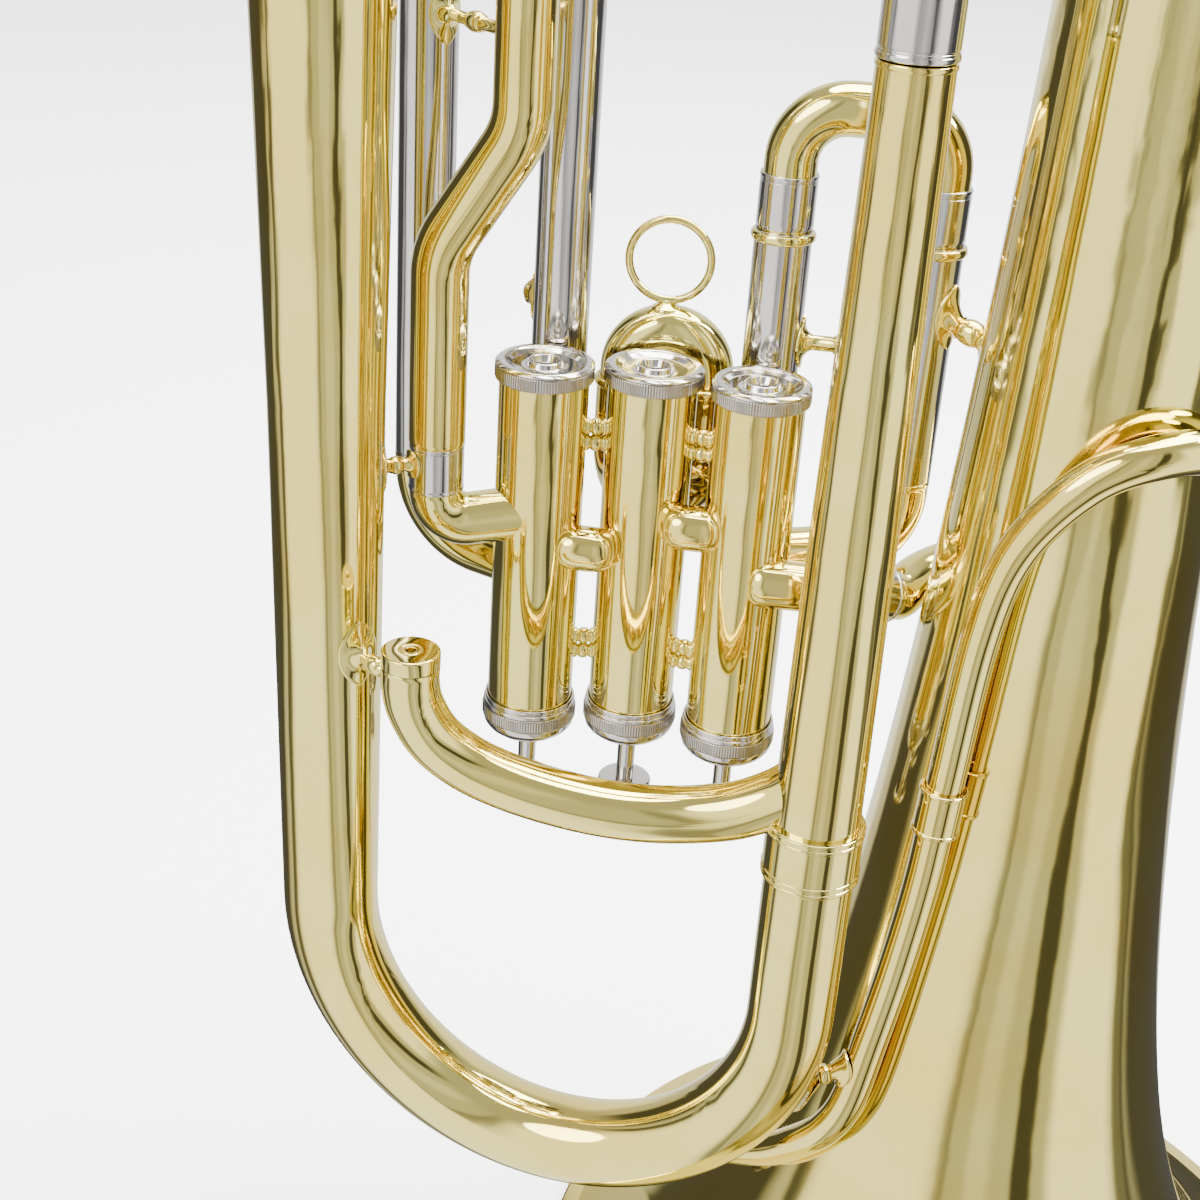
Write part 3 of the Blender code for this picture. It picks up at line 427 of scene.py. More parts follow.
def buildBell():
    rim, bead = bell["rimZ"], bell["bead"]
    share = np.linspace(0, 1, 150) ** 2.2
    heights = rim + 2.6 + (bell["topZ"] - rim - 2.6) * share
    outer = np.minimum(bellRadius(heights), bell["reach"])
    # the rolled wire in the rim, from above it outside to above it inside
    turn = np.linspace(0.35 * np.pi, -1.1 * np.pi, 22)
    roll = np.c_[rim + bead * np.sin(turn), bell["reach"] + bead * np.cos(turn)]
    outline = np.vstack(
        (np.c_[heights, outer][::-1], roll, np.c_[heights, outer - bell["wall"]])
    )
    lathe("bell", *bell["axis"], outline, brass, nodes=("bell",), sides=192)


outerLeg = (-90.7, -32.0)
innerLeg = (62.5, -62.0)
bow = {"z": 330.0, "sleeve": 14.0, "radii": (23.1, 30.4), "bead": 0.9}
uBow = {"bendZ": -60.0, "ferrule": (-9.0, 10.0), "topZ": 315.0}
outerSize = ((-70.0, 15.2), (111.0, 17.0), (222.0, 19.4), (330.0, 22.2))
innerSize = ((-70.0, 13.4), (-20.0, 13.2), (50.0, 12.5), (97.0, 12.0), (171.0, 10.6), (226.0, 9.8))


def sizeAt(stations, z):
    # radius between listed heights, in straight steps
    return np.interp(z, [s[0] for s in stations], [s[1] for s in stations])


def archBetween(left, right, z):
    # a straight run up, half a circle, and a straight run down
    left, right = np.array((*left, z)), np.array((*right, z))
    half = np.linalg.norm(right - left) / 2
    angle = np.linspace(np.pi, 0, 90)[:, None]
    middle = (left + right) / 2
    return middle + half * (np.cos(angle) * unit(right - left) + np.sin(angle) * upward)


def buildBow():
    arch = archBetween(outerLeg, bell["axis"], bow["z"])
    down = upward * bow["sleeve"]
    path = np.vstack((arch[:1] - down, arch, arch[-1:] - down))
    total = lengths(path)[-1]
    first, last = bow["radii"]

    def size(s):
        return first + (last - first) * s / total

    beads = ((1.4, 1.3, 0.2), (total - 1.6, 1.5, bow["bead"] * 0.5), (8.0, 0.35, -0.2))
    tube("bottomBow", path, size, brass, nodes=("bottom_bow",), beads=beads, sides=96)


def buildBranches():
    arch = archBetween(outerLeg, innerLeg, 0.0)
    arch[:, 2] *= -1.0
    arch[:, 2] += uBow["bendZ"]
    top = np.array((*outerLeg, uBow["topZ"]))
    end = np.array((*innerLeg, -4.0))
    path = np.vstack((top, arch, end))
    run = uBow["topZ"] - uBow["bendZ"]
    bend = lengths(arch)[-1]

    def size(s):
        # by height down the first leg, then evenly round the bend
        straightSize = sizeAt(outerSize, uBow["topZ"] - s)
        share = np.clip((s - run) / bend, 0, 1)
        first, last = sizeAt(outerSize, uBow["bendZ"]), sizeAt(innerSize, uBow["bendZ"])
        return np.where(s <= run, straightSize, first + (last - first) * share)

    tube("uBowBranch", path, size, brass, nodes=("u_bow_branch",), sides=96, step=2.2)
    low, high = -3.7, 225.7
    tube(
        "innerBranch", straight(*innerLeg, low, high), lambda s: sizeAt(innerSize, s + low), brass,
        nodes=("inner_branch",), sides=96, beads=((high - low - 1.0, 0.8, 0.35),),
    )
    low, high = uBow["ferrule"]
    line = 0.55
    span = high - low
    beads = ((0.9, line, 0.3), (3.0, line, 0.3), (span - 3.0, line, 0.3), (span - 0.9, line, 0.3))
    tube(
        "uBowFerrule", straight(*innerLeg, low, high), 14.3, brass, nodes=("u_bow_ferrule",),
        wall=1.4, beads=beads, sides=96,
    )


buildBell()
buildBow()
buildBranches()
print("bell and branches built")

casing = {"r": 13.6, "wall": 1.2, "low": casingBottom, "high": 114.0}
topCap = {"r": 15.2, "low": -10.0, "lip": 5.0, "ribs": 110, "ribDepth": 0.2}
bottomCap = {"r": 15.0, "lip": 113.0, "top": 119.0, "ribs": 110, "ribDepth": 0.22}
piston = {"r": 12.1, "top": 80.0, "stem": 2.9, "travel": 15.0}
button = {"r": 8.8, "top": -26.5, "thick": 2.6}
spring = {"r": 9.4, "wire": 0.6, "turns": 5, "low": 68.9, "high": 113.4}


def buildCasing(number, x, y):
    low, high, r = casing["low"], casing["high"], casing["r"]
    inner = r - casing["wall"]
    outline = soften([(low, inner), (low, r), (high, r), (high, inner)], 0.3)
    lathe(f"valveCasing{number}", x, y, outline, brass, nodes=(f"valve_casing_{number}",))


def buildTopCap(number, x, y):
    # two lines by the casing, a finely knurled band, a polished dome and the stem's collar
    r, low, lip = topCap["r"], topCap["low"], topCap["lip"]
    inner = casing["r"] + 0.15
    outline = [
        (lip, inner), (lip, r - 0.7), (lip - 1.0, r - 0.7), (lip - 1.2, r - 1.1), (lip - 1.6, r - 1.1),
        (lip - 1.8, r - 0.3), (lip - 3.0, r - 0.3), (lip - 3.2, r - 0.8), (lip - 7.6, r - 0.8),
        (lip - 7.8, r - 0.3), (lip - 9.6, r - 0.7), (-6.2, r - 1.8), (-7.8, r - 4.4), (-9.0, r - 7.6),
        (-9.5, 5.8), (-9.5, 5.2), (low, 5.0), (low, 3.3), (-8.6, 3.3), (-8.0, 11.2), (-4.3, 11.6),
        (-4.3, inner),
    ]
    node = f"top_cap_{number}"
    lathe(f"topCap{number}", x, y, soften(outline, 0.35, 5), nickel, nodes=(node,))
    knurl(f"topCapBand{number}", x, y, lip - 7.6, lip - 3.2, r, topCap)


def knurl(name, x, y, low, high, r, facts):
    # a raised band with upright ribs
    outline = [
        (low, r - 1.1, 0), (low, r - 0.3, 0), (low + 0.4, r, 1), (high - 0.4, r, 1), (high, r - 0.3, 0),
        (high, r - 1.1, 0),
    ]
    band = soften(outline, 0.2, 4)
    ribs, depth = facts["ribs"], facts["ribDepth"]
    lathe(name, x, y, band, turnedNickel, sides=ribs * 5, ribs=ribs, ribDepth=depth)


def buildBottomCap(number, x, y):
    # a bevelled mirror rim, a shallow dish, and a raised cone round the vent
    r, lip, top = bottomCap["r"], bottomCap["lip"], bottomCap["top"]
    inner = casing["r"] + 0.15
    outline = [
        (lip, inner), (lip, r - 0.5), (top - 1.5, r - 0.5), (top - 1.3, r), (top - 0.9, r), (top, r - 1.1),
        (top, r - 2.9), (top - 0.5, r - 3.4), (top - 1.5, r - 5.2), (top - 1.9, 7.2), (top - 1.8, 5.9),
        (top - 0.3, 5.3), (top - 0.05, 4.9), (top - 0.2, 4.4), (top - 2.2, 3.1), (top - 4.5, 3.0),
        (top - 4.6, inner - 1.0), (top - 4.6, inner),
    ]
    lathe(f"bottomCap{number}", x, y, soften(outline, 0.3, 5), nickel, nodes=(f"bottom_cap_{number}",))
    knurl(f"bottomCapBand{number}", x, y, lip + 0.2, top - 1.6, r, bottomCap)
    # painted shade: a near-black disc stands in for the shade inside the vent
    disc = [(top - 4.4, 0.001), (top - 4.4, 3.1), (top - 3.2, 3.1), (top - 3.2, 0.001)]
    lathe(f"ventShade{number}", x, y, disc, holeShade, sides=32)


def buildMoving(number, x, y):
    body = f"valve_{number}"
    r, top, stem = piston["r"], piston["top"], piston["stem"]
    low = casing["low"]
    outline = soften(
        [(top, r - 0.3), (low, r), (low, stem), (button["top"], stem), (button["top"], 0.001),
         (top - 12.0, 0.001), (top - 12.0, 10.4), (top, 10.4)], 0.25,
    )
    lathe(f"piston{number}", x, y, outline, nickel, body, (f"piston_{number}",), 64)
    high, thick, rim = button["top"], button["thick"], button["r"]
    outline = soften(
        [(high, 0.001), (high, 4.2), (high, rim - 0.5), (high - 0.6, rim), (high - 1.5, rim),
         (high - 2.1, rim - 0.8), (high - 2.1, rim - 2.2), (high - thick + 0.7, rim - 2.6),
         (high - thick, 3.0), (high - thick - 0.15, 0.001)], 0.35, 5,
    )
    lathe(f"fingerButton{number}", x, y, outline, nickel, body, (f"finger_button_{number}",), 96)


def buildSpring(number, x, y):
    turn = np.linspace(0, 2 * np.pi * spring["turns"], spring["turns"] * 48)
    rise = np.linspace(spring["low"], spring["high"], len(turn))
    path = np.stack((x + spring["r"] * np.cos(turn), y + spring["r"] * np.sin(turn), rise), -1)
    total = lengths(path)[-1]
    stations = np.linspace(0, total, spring["turns"] * 48)
    wire = np.c_[stations, np.full(len(stations), spring["wire"])]
    grid = carry(path, np.vstack(((0, 0.001), wire, (total, 0.001))), 10)
    made = piece(f"valveSpring{number}", [grid], steel, nodes=(f"valve_spring_{number}",))
    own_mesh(made)


for number, (x, y) in valves.items():
    buildCasing(number, x, y)
    buildTopCap(number, x, y)
    buildBottomCap(number, x, y)
    buildMoving(number, x, y)
    buildSpring(number, x, y)
print("valves built")


knuckle = {"r": 7.1, "y": -6.0, "half": 9.4, "roundness": 3.0}


def buildKnuckle(name, middle, z, node):
    # a pillow: the radius falls off at both ends by a superellipse
    half, power = knuckle["half"], knuckle["roundness"]
    share = np.sin(np.linspace(-0.5, 0.5, 61) * np.pi)
    radius = knuckle["r"] * (1 - np.abs(share) ** power) ** (1 / power)
    outline = np.c_[half + share * half, np.maximum(radius, 0.001)]
    path = np.array(((middle - half, knuckle["y"], z), (middle + half, knuckle["y"], z)))
    grid = carry(path, outline, 72)
    for axis in valves.values():
        if abs(axis[0] - middle) < 20.0:
            grid = cope(grid, axis, (axis[0] - middle, 0.0, 0.0))
    piece(name, [grid], brass, nodes=(node,))


def spacer(first, second, z):
    # a little barrel with a flange at each casing
    a, b = np.array((*first, z)), np.array((*second, z))
    way = unit(b - a)
    start = a + way * (casing["r"] - 0.5)
    span = np.linalg.norm(b - a) - 2 * casing["r"] + 1.0
    path = np.array((start, start + way * span))
    outline = [
        (0, 0.001), (0, 2.6), (span * 0.18, 2.6), (span * 0.24, 1.9), (span * 0.34, 2.5), (span * 0.5, 2.7),
        (span * 0.66, 2.5), (span * 0.76, 1.9), (span * 0.82, 2.6), (span, 2.6), (span, 0.001),
    ]
    return carry(path, soften(outline, 0.3), 48)


def buildSpacers():
    for label, z in (("upper", 95.5), ("lower", 23.5)):
        for a, b in ((1, 2), (2, 3)):
            grids = [spacer(valves[a], valves[b], z + lift) for lift in (2.6, -2.6)]
            node = f"casing_bead_{a}_{b}_{label}"
            piece(f"casingSpacer{a}{b}{label.title()}", grids, brass, nodes=(node,))


buildKnuckle("knuckle12", 16.5, 71.8, "knuckle_1_2")
buildKnuckle("knuckle23", -16.5, 61.0, "knuckle_2_3")
buildSpacers()
print("knuckles and spacers built")

leg = {"inner": 7.9, "outer": 8.7, "wall": 0.5}
slides = {
    1: {"legs": ((33.5, 23.8), (78.0, 23.8)), "ring": 159.0, "bendZ": 179.0, "depth": 62.0, "bend": 16.0},
    2: {"legs": ((-11.5, 30.0), (14.6, 30.0)), "ring": 106.0, "bendZ": 108.7, "depth": 21.0, "bend": None},
    3: {"legs": ((-74.2, 22.0), (-32.0, 25.0)), "ring": 236.0, "bendZ": 262.0, "depth": 62.0, "bend": None},
}


def splitPath(path, at):
    # the two parts of a path either side of a length
    total = lengths(path)
    cut = placeAt(path, at)
    return np.vstack((path[total < at - 1e-3], cut)), np.vstack((cut, path[total > at + 1e-3]))


# turnZ is where a sleeve bends to its valve, end is (x, y) from that valve's line and the height there,
# and nickelTo is the height at which nickel gives way to a brass elbow; the middle valve's are all brass
sleeves = (
    {
        "name": "slide1SleeveLeft", "node": "slide_1_sleeve_left", "valve": 1, "side": 0, "mouthZ": 158.8,
        "turnZ": 36.0, "end": (0.0, 2.0, 36.0), "bend": 9.4, "nickelTo": 60.0,
    },
    {
        "name": "slide1SleeveRight", "node": "slide_1_sleeve_right", "valve": 1, "side": 1, "mouthZ": 158.8,
        "turnZ": 59.0, "end": (3.0, 6.0, 59.0), "bend": 19.0, "nickelTo": 84.0,
    },
    {
        "name": "slide2SleeveLeft", "node": "slide_2_sleeve_left", "valve": 2, "side": 0, "mouthZ": 106.0,
        "turnZ": 75.0, "end": (-2.0, 2.0, 75.0), "bend": 9.2, "nickelTo": None,
    },
    {
        "name": "slide2SleeveRight", "node": "slide_2_sleeve_right", "valve": 2, "side": 1, "mouthZ": 106.0,
        "turnZ": 72.0, "end": (2.0, 2.0, 72.0), "bend": 9.2, "nickelTo": None,
    },
    {
        "name": "slide3SleeveLeft", "node": "slide_3_sleeve_left", "valve": 3, "side": 0, "mouthZ": 236.0,
        "turnZ": 49.0, "end": (-2.0, 7.0, 47.0), "bend": 24.0, "nickelTo": 76.0,
    },
    {
        "name": "slide3SleeveRight", "node": "slide_3_sleeve_right", "valve": 3, "side": 1, "mouthZ": 236.0,
        "turnZ": 76.0, "end": (0.0, 2.0, 76.0), "bend": 10.5, "nickelTo": 92.0,
    },
)


def buildSleeve(facts):
    # down the leg from the mouth, round the bend, and level into the casing
    name, nodes, axis = facts["name"], (facts["node"],), valves[facts["valve"]]
    x, y = slides[facts["valve"]]["legs"][facts["side"]]
    top = facts["mouthZ"]
    endX, endY, endZ = facts["end"]
    corners = [(x, y, top), (x, y, facts["turnZ"]), (axis[0] + endX, axis[1] + endY, endZ)]
    path = rounded(corners, facts["bend"])
    if facts["nickelTo"] is None:
        tube(name, path, leg["outer"], brass, nodes=nodes, beads=((1.9, 1.5, 0.9),), into=axis)
        return
    sleeve, elbow = splitPath(path, top - facts["nickelTo"])
    tube(name, sleeve, leg["outer"], nickel, wall=leg["wall"], nodes=nodes)
    tube(f"{name}Knuckle", elbow, leg["outer"] - 0.15, brass, beads=((0.9, 0.8, 0.25),), into=axis)
    mouth = np.array((sleeve[0] - upward * 3.6, sleeve[0] - upward * 0.2))
    tube(f"{name}Bead", mouth, leg["outer"] + 0.1, brass, beads=((1.7, 1.5, 1.0),))


ferrule = {"above": 0.5, "below": 3.5}  # gaps from a ring to the ferrule and from it to the bend


def buildCrook(number):
    # inner legs and bend, with a nickel ferrule on each leg just above the sleeve's bead
    facts = slides[number]
    (ax, ay), (bx, by) = facts["legs"]
    bend = facts["bend"] or math.dist((ax, ay), (bx, by)) / 2 - 0.01
    top, low = facts["bendZ"] + bend, facts["ring"] - facts["depth"]
    body = f"slide_{number}"
    path = rounded([(ax, ay, low), (ax, ay, top), (bx, by, top), (bx, by, low)], bend)
    tube(f"valveSlide{number}", path, leg["inner"], brass, body, (f"valve_slide_{number}",))
    if number == 2:
        return
    for label, (x, y) in zip(("Left", "Right"), facts["legs"]):
        low, high = facts["ring"] + ferrule["above"], facts["bendZ"] - ferrule["below"]
        size = high - low
        beads = ((size - 2.0, 0.35, -0.2), (size - 0.7, 0.6, 0.15))
        tube(
            f"slide{number}Ferrule{label}", straight(x, y, low, high), leg["outer"] - 0.1, nickel,
            body, wall=0.75, beads=beads,
        )


ring = {"r": 12.6, "wire": 1.25, "post": 1.6}


def buildPullRing():
    (ax, y), (bx, _) = slides[2]["legs"]
    x = valves[2][0]
    crown = slides[2]["bendZ"] + (bx - ax) / 2 + leg["inner"]
    middle = np.array((x, y, crown + 0.3 + ring["r"] + ring["wire"]))
    turn = np.linspace(0, 2 * np.pi, 96, endpoint=False)[:, None, None]
    side = np.linspace(0, 2 * np.pi, 24, endpoint=False)[None, :, None]
    out = np.cos(turn) * np.array((1.0, 0.0, 0.0)) + np.sin(turn) * upward
    back = np.array((0.0, 1.0, 0.0))
    wire = ring["wire"] * (np.cos(side) * out + np.sin(side) * back)
    grids = [middle + ring["r"] * out + wire]
    # the post flares on to the crown of the bend
    path = straight(x, y, crown - 2.0, crown + 1.6)
    post = ring["post"]
    outline = [(0, 0.001), (0, 5.0), (1.5, 4.6), (2.3, 2.6), (2.9, post), (3.6, post), (3.6, 0.001)]
    grids.append(carry(path, soften(outline, 0.5), 32))
    piece("pullRing", grids, brass, "slide_2", ("pull_ring_2",))


for facts in sleeves:
    buildSleeve(facts)
for number in slides:
    buildCrook(number)
buildPullRing()
print("valve slides built")

sTube = {
    "lower": (-62.8, -10.0), "upper": (-40.3, -10.0), "r": 8.6, "elbowR": 8.2, "ferruleR": 8.4,
    "portZ": 71.0, "ferrule": (78.0, 93.0), "offset": (152.5, 188.5), "elbowBend": 9.5, "bend": 26.0,
}
mainSlide = {"sleeve": (226.0, 274.0), "bendZ": 290.0, "radii": (8.4, 9.2), "depth": 44.0}


def buildS():
    x3, y3 = valves[3]
    low, high = sTube["ferrule"]
    portZ = sTube["portZ"]
    corners = [(*sTube["lower"], low), (*sTube["lower"], portZ - 5), (x3 - 3, y3 - 5, portZ)]
    path = rounded(corners, sTube["elbowBend"])
    tube("sTubeElbow", path, sTube["elbowR"], brass, nodes=("s_tube_elbow",), into=valves[3])
    beads = ((high - low - 1.2, 0.35, -0.25), (0.7, 0.6, 0.15), (high - low - 0.5, 0.5, 0.1))
    tube(
        "sTubeFerrule", straight(*sTube["lower"], low, high), sTube["ferruleR"], nickel,
        nodes=("s_tube_ferrule",), wall=0.6, beads=beads,
    )
    corners = [
        (*sTube["lower"], high - 0.2), (*sTube["lower"], sTube["offset"][0]),
        (*sTube["upper"], sTube["offset"][1]), (*sTube["upper"], mainSlide["sleeve"][0]),
    ]
    path = rounded(corners, sTube["bend"])
    tube("sTube", path, sTube["r"], brass, nodes=("s_tube",), sides=80)


def buildMain():
    low, high = mainSlide["sleeve"]
    for name, place, inner, node in (
        ("mainSleeveValveSide", sTube["upper"], mainSlide["radii"][0], "main_sleeve_valve_side"),
        ("mainSleeveBranchSide", innerLeg, mainSlide["radii"][1], "main_sleeve_branch_side"),
    ):
        span = high - low
        beads = ((span - 1.6, 1.4, 0.9), (0.9, 0.8, 0.3), (2.6, 0.35, -0.2))
        path = straight(*place, low, high)
        tube(name, path, inner + 0.9, nickel, nodes=(node,), wall=0.6, beads=beads, sides=80)
    arch = archBetween(sTube["upper"], innerLeg, mainSlide["bendZ"])
    bottom = high - mainSlide["depth"]
    ends = [np.array((*place, bottom)) for place in (sTube["upper"], innerLeg)]
    path = np.vstack((ends[0], arch, ends[1]))
    total = lengths(path)[-1]
    first, last = mainSlide["radii"]
    start = mainSlide["bendZ"] - bottom

    def size(s):
        return first + (last - first) * s / total

    beads = ((start - 6.0, 0.8, 0.5), (start - 3.6, 0.5, 0.3), (total - start + 6.0, 0.8, 0.5))
    node = "main_tuning_slide"
    tube("mainTuningSlide", path, size, brass, "main_slide", (node,), beads=beads, sides=80)


buildS()
buildMain()
print("main tuning slide built")

lead = {
    "r": (7.7, 5.6), "gap": 2.2, "portY": -9.0, "portZ": 57.8, "mouth": (69.0, 1.2, 53.2),
    "sleeve": 11.0, "receiver": 7.6, "ferrule": (5.0, 20.0),
}
# bearing round the bell's axis in degrees, and height
leadWrap = (
    (141.0, 51.0), (121.0, 53.5), (99.0, 61.0), (76.0, 71.5), (51.0, 84.0), (26.0, 97.0),
    (1.0, 110.0), (-25.0, 121.0), (-51.0, 128.0), (-76.0, 128.0), (-97.0, 119.0),
)
# down the bell's near side and round under the branch to the receiver
leadPoints = (
    (107.5, -52.5, 98.0), (101.5, -51.5, 70.0), (98.4, -52.0, 21.0), (96.5, -52.5, -12.0),
    (93.0, -54.0, -43.0), (88.5, -56.5, -71.0), (84.2, -58.5, -95.0), (79.0, -58.0, -108.0),
    (71.5, -54.0, -119.0), (62.0, -46.0, -132.0), (50.0, -36.0, -143.0), (38.0, -29.0, -149.0),
)


def wrapPoint(bearing, z):
    reach = bellRadius(z) + lead["r"][0] + lead["gap"]
    turn = math.radians(bearing)
    x, y = bell["axis"]
    return (x + reach * math.cos(turn), y + reach * math.sin(turn), z)


def buildLeadpipe():
    x1, _ = valves[1]
    mouth = np.array(lead["mouth"])
    start = np.array((55.0, lead["portY"], lead["portZ"]))
    ahead = unit(mouth - start)
    path = rounded([(x1 + 1.5, lead["portY"], lead["portZ"]), start, mouth], 24.0)
    total = lengths(path)[-1]
    # the end at the casing closes like the knuckles
    share = np.linspace(0, 1, 22)
    nose = np.c_[7.1 * share, lead["r"][0] * (1 - (1 - share) ** 3) ** (1 / 3)]
    nose[0, 1] = 0.001
    run = np.arange(8.0, total, 1.3)
    wide = lead["r"][0]
    outline = np.vstack((nose, np.c_[run, np.full(len(run), wide)], (total, wide), (total, 0.001)))
    grid = cope(carry(path, outline, 72), valves[1], (-1.0, 0.0, 0.0))
    piece("portTube", [grid], brass, nodes=("port_tube_1",))
    joint = mouth + ahead * (lead["sleeve"] + 0.3)
    beads = ((1.0, 0.7, 0.25), (lead["sleeve"] - 1.0, 0.7, 0.25))
    tube("portSleeve", np.array((mouth, joint)), 8.6, nickel, nodes=("port_sleeve",), beads=beads)

    route = curveThrough([joint + ahead * 4.3, *[wrapPoint(*w) for w in leadWrap], *leadPoints])
    route = np.vstack((joint, route))
    along = lengths(route)
    # the taper ends where the pipe has come round to the near side and is level with the guard
    near = np.where(route[:, 1] < -45, np.abs(route[:, 2] - leadPoints[1][2]), np.inf)
    narrow = along[int(np.argmin(near))]

    def size(s):
        return np.interp(s, (0.0, narrow), lead["r"])

    tube("leadpipe", route, size, brass, nodes=("leadpipe",), sides=56)
    front = route[:, 1] < -45
    column = route[front][np.argsort(route[front][:, 2])]
    low, high = lead["ferrule"]
    ends = [[np.interp(z, column[:, 2], column[:, axis]) for axis in range(3)] for z in (high, low)]
    beads = ((1.0, 0.7, 0.4), (14.6, 0.7, 0.4))
    band = np.array(ends)
    tube("leadpipeFerrule", band, 6.8, brass, nodes=("leadpipe_ferrule",), wall=1.1, beads=beads)
    way = unit(route[-1] - route[-4])
    end = route[-1] + way * 0.3
    outline = [
        (0, 4.7), (0, 6.1), (2.8, 6.2), (3.6, 7.0), (6.0, 7.1), (24.0, 7.3), (24.6, 7.6), (29.6, 7.6),
        (30.0, 7.3), (30.0, 6.3), (2.0, 4.7),
    ]
    path = np.array((end, end + way * 30.0))
    grid = carry(path, soften(outline, 0.4), 64)
    piece("mouthpieceReceiver", [grid], turnedNickel, nodes=("mouthpiece_receiver",))


buildLeadpipe()
print("leadpipe built")

guard = {"r": 8.6, "top": (-58.6, -60.0, 43.6), "plug": 5.0}
guardPoints = (
    (-57.0, -60.0, 30.0), (-51.5, -60.0, 20.5), (-42.5, -60.0, 13.5), (-31.0, -60.0, 8.6),
    (-16.5, -60.0, 5.0), (-1.0, -60.0, 3.0), (14.0, -60.0, 3.0), (28.0, -60.0, 5.0),
    (40.0, -60.5, 8.6), (51.0, -61.0, 15.0), (58.0, -61.6, 21.5),
)


def buildGuard():
    x, y, z = guard["top"]
    path = curveThrough([guard["top"], (x, y, z - 6.0), *guardPoints])
    tube("handGuard", path, guard["r"], brass, nodes=("hand_guard",), sides=80, wall=0.9)
    top, r = z + guard["plug"], guard["r"] + 0.1
    # a flat turned disc with a shallow groove and a small screw hole
    outline = soften(
        [(z + 0.3, 0.001), (z + 0.3, r), (top - 0.4, r), (top, r - 0.5), (top, 3.4), (top - 0.25, 3.2),
         (top - 0.25, 2.9), (top, 2.7), (top, 1.6), (top - 2.4, 1.5), (top - 2.4, 0.001)], 0.25, 5,
    )
    lathe("guardPlug", x, y, outline, brass, nodes=("hand_guard_plug",))
    # painted shade: a near-black disc stands in for the shade inside the small screw hole
    shade = [(top - 2.2, 0.001), (top - 2.2, 1.48), (top - 2.0, 1.48), (top - 2.0, 0.001)]
    lathe("plugShade", x, y, shade, holeShade, sides=24)


buildGuard()
print("guard built")


class Tube:
    def __init__(self, point, axis, radius):
        self.point = np.array(point, float)
        self.axis = unit(axis)
        self.radius = radius


def saddle(on, towards, foot, waist, reach, leaf):
    # rings from under the foot, over its rim and up a flare to the post
    angle = 2 * np.pi * np.arange(64) / 64
    normal = unit(towards - on.axis * (towards @ on.axis))
    side = np.cross(on.axis, normal)
    flatAlong = unit(on.axis - towards * (on.axis @ towards))
    flatSide = np.cross(flatAlong, towards)
    # a leaf narrows to a point at both ends of its length
    narrow = foot * (0.62 * np.abs(np.sin(angle)) ** 0.6 if leaf else 1.0)
    rimAlong, rimSide = foot * np.cos(angle), narrow * np.sin(angle)
    rows = [
        (0.02, 0.02), (0.9, 0.02), (1.0, 0.12), (1.0, 0.55), (0.96, 0.72), (0.85, 0.82), (0.6, 0.95),
        (0.42, 1.15), (0.28, 1.5), (0.14, 2.1), (0.04, 2.9), (0.0, reach), (0.0, reach + 0.01),
    ]
    rings = []
    for share, height in rows:
        inner = 0.02 if height > reach else waist
        blendIn = max(0.0, 1 - share) if share < 0.5 or height > 0.5 else 0.0
        u = share * rimAlong + blendIn * inner * np.cos(angle)
        v = share * rimSide + blendIn * inner * np.sin(angle)
        lift = on.radius + height
        turn = v / on.radius
        around = np.outer(np.cos(turn), normal) + np.outer(np.sin(turn), side)
        curved = np.outer(u, on.axis) + lift * around
        straightUp = np.outer(u, flatAlong) + np.outer(v, flatSide) + lift * towards
        share = min(1.0, height / 4.0) ** 1.5
        rings.append(on.point + curved * (1 - share) + straightUp * share)
    return np.array(rings)


def brace(name, first, second, facts, node):
    # a saddle on each tube, and a turned post with a ball at its middle
    feet, waist, ball, leaves = facts["feet"], facts["waist"], facts["ball"], facts["leaf"]
    line = second.point - first.point
    towards = unit(line)
    span = np.linalg.norm(line) - first.radius - second.radius
    reach = min(3.4, span * 0.45)
    grids = [
        saddle(first, towards, feet[0], waist, reach, leaves[0]),
        saddle(second, -towards, feet[1], waist, reach, leaves[1]),
    ]
    start = first.point + towards * (first.radius + reach * 0.8)
    run = span - reach * 1.6
    half = run / 2
    if run > 0.5:
        size = min(ball, half * 0.8)
        bulge = np.linspace(-1, 1, 25)
        middle = np.c_[half + bulge * size * 0.9, waist + (ball - waist) * np.sqrt(1 - bulge**2)]
        rims = [(half - size * 0.98, waist * 1.35), (half + size * 0.98, waist * 1.35)]
        outline = np.vstack(
            ((0, 0.001), (0, waist), (max(0.1, half - size * 1.2), waist), rims[0], middle, rims[1],
             (min(run - 0.1, half + size * 1.2), waist), (run, waist), (run, 0.001))
        )
        grids.append(carry(np.array((start, start + towards * run)), outline, 48))
    piece(name, grids, brass, nodes=(node,))


# feet are the two saddles' half lengths, and leaf says which of them narrow to points
braces = {
    "guard": {"z": 35.5, "feet": (11.0, 3.6), "waist": 1.9, "ball": 3.0, "leaf": (True, False)},
    "sTube": {"z": 88.0, "feet": (9.5, 4.5), "waist": 1.7, "ball": 2.8, "leaf": (True, False)},
    "slide3": {"z": 213.5, "feet": (9.0, 4.5), "waist": 1.8, "ball": 3.0, "leaf": (True, False)},
    "stay": {"z": 124.3, "feet": (8.5, 8.5), "waist": 2.4, "ball": 3.2, "leaf": (True, True)},
    "bell": {"z": 138.0, "feet": (10.0, 6.5), "waist": 2.6, "ball": 4.0, "leaf": (True, False)},
    "leadpipe": {"z": -90.0, "feet": (9.0, 6.0), "waist": 2.4, "ball": 3.2, "leaf": (True, False)},
}
bellBraceDrop = 11.0  # how much lower the brace meets the bell than the slide
# the bend and the leadpipe where their brace joins them: a point on each, and the way it runs
bendPoint, bendWay, bendR = (57.4, -60.9, braces["leadpipe"]["z"]), (-0.42, 0.09, -0.9), 14.2
pipePoint, pipeWay = (86.0, -57.8, -84.0), (0.16, 0.08, 1.0)


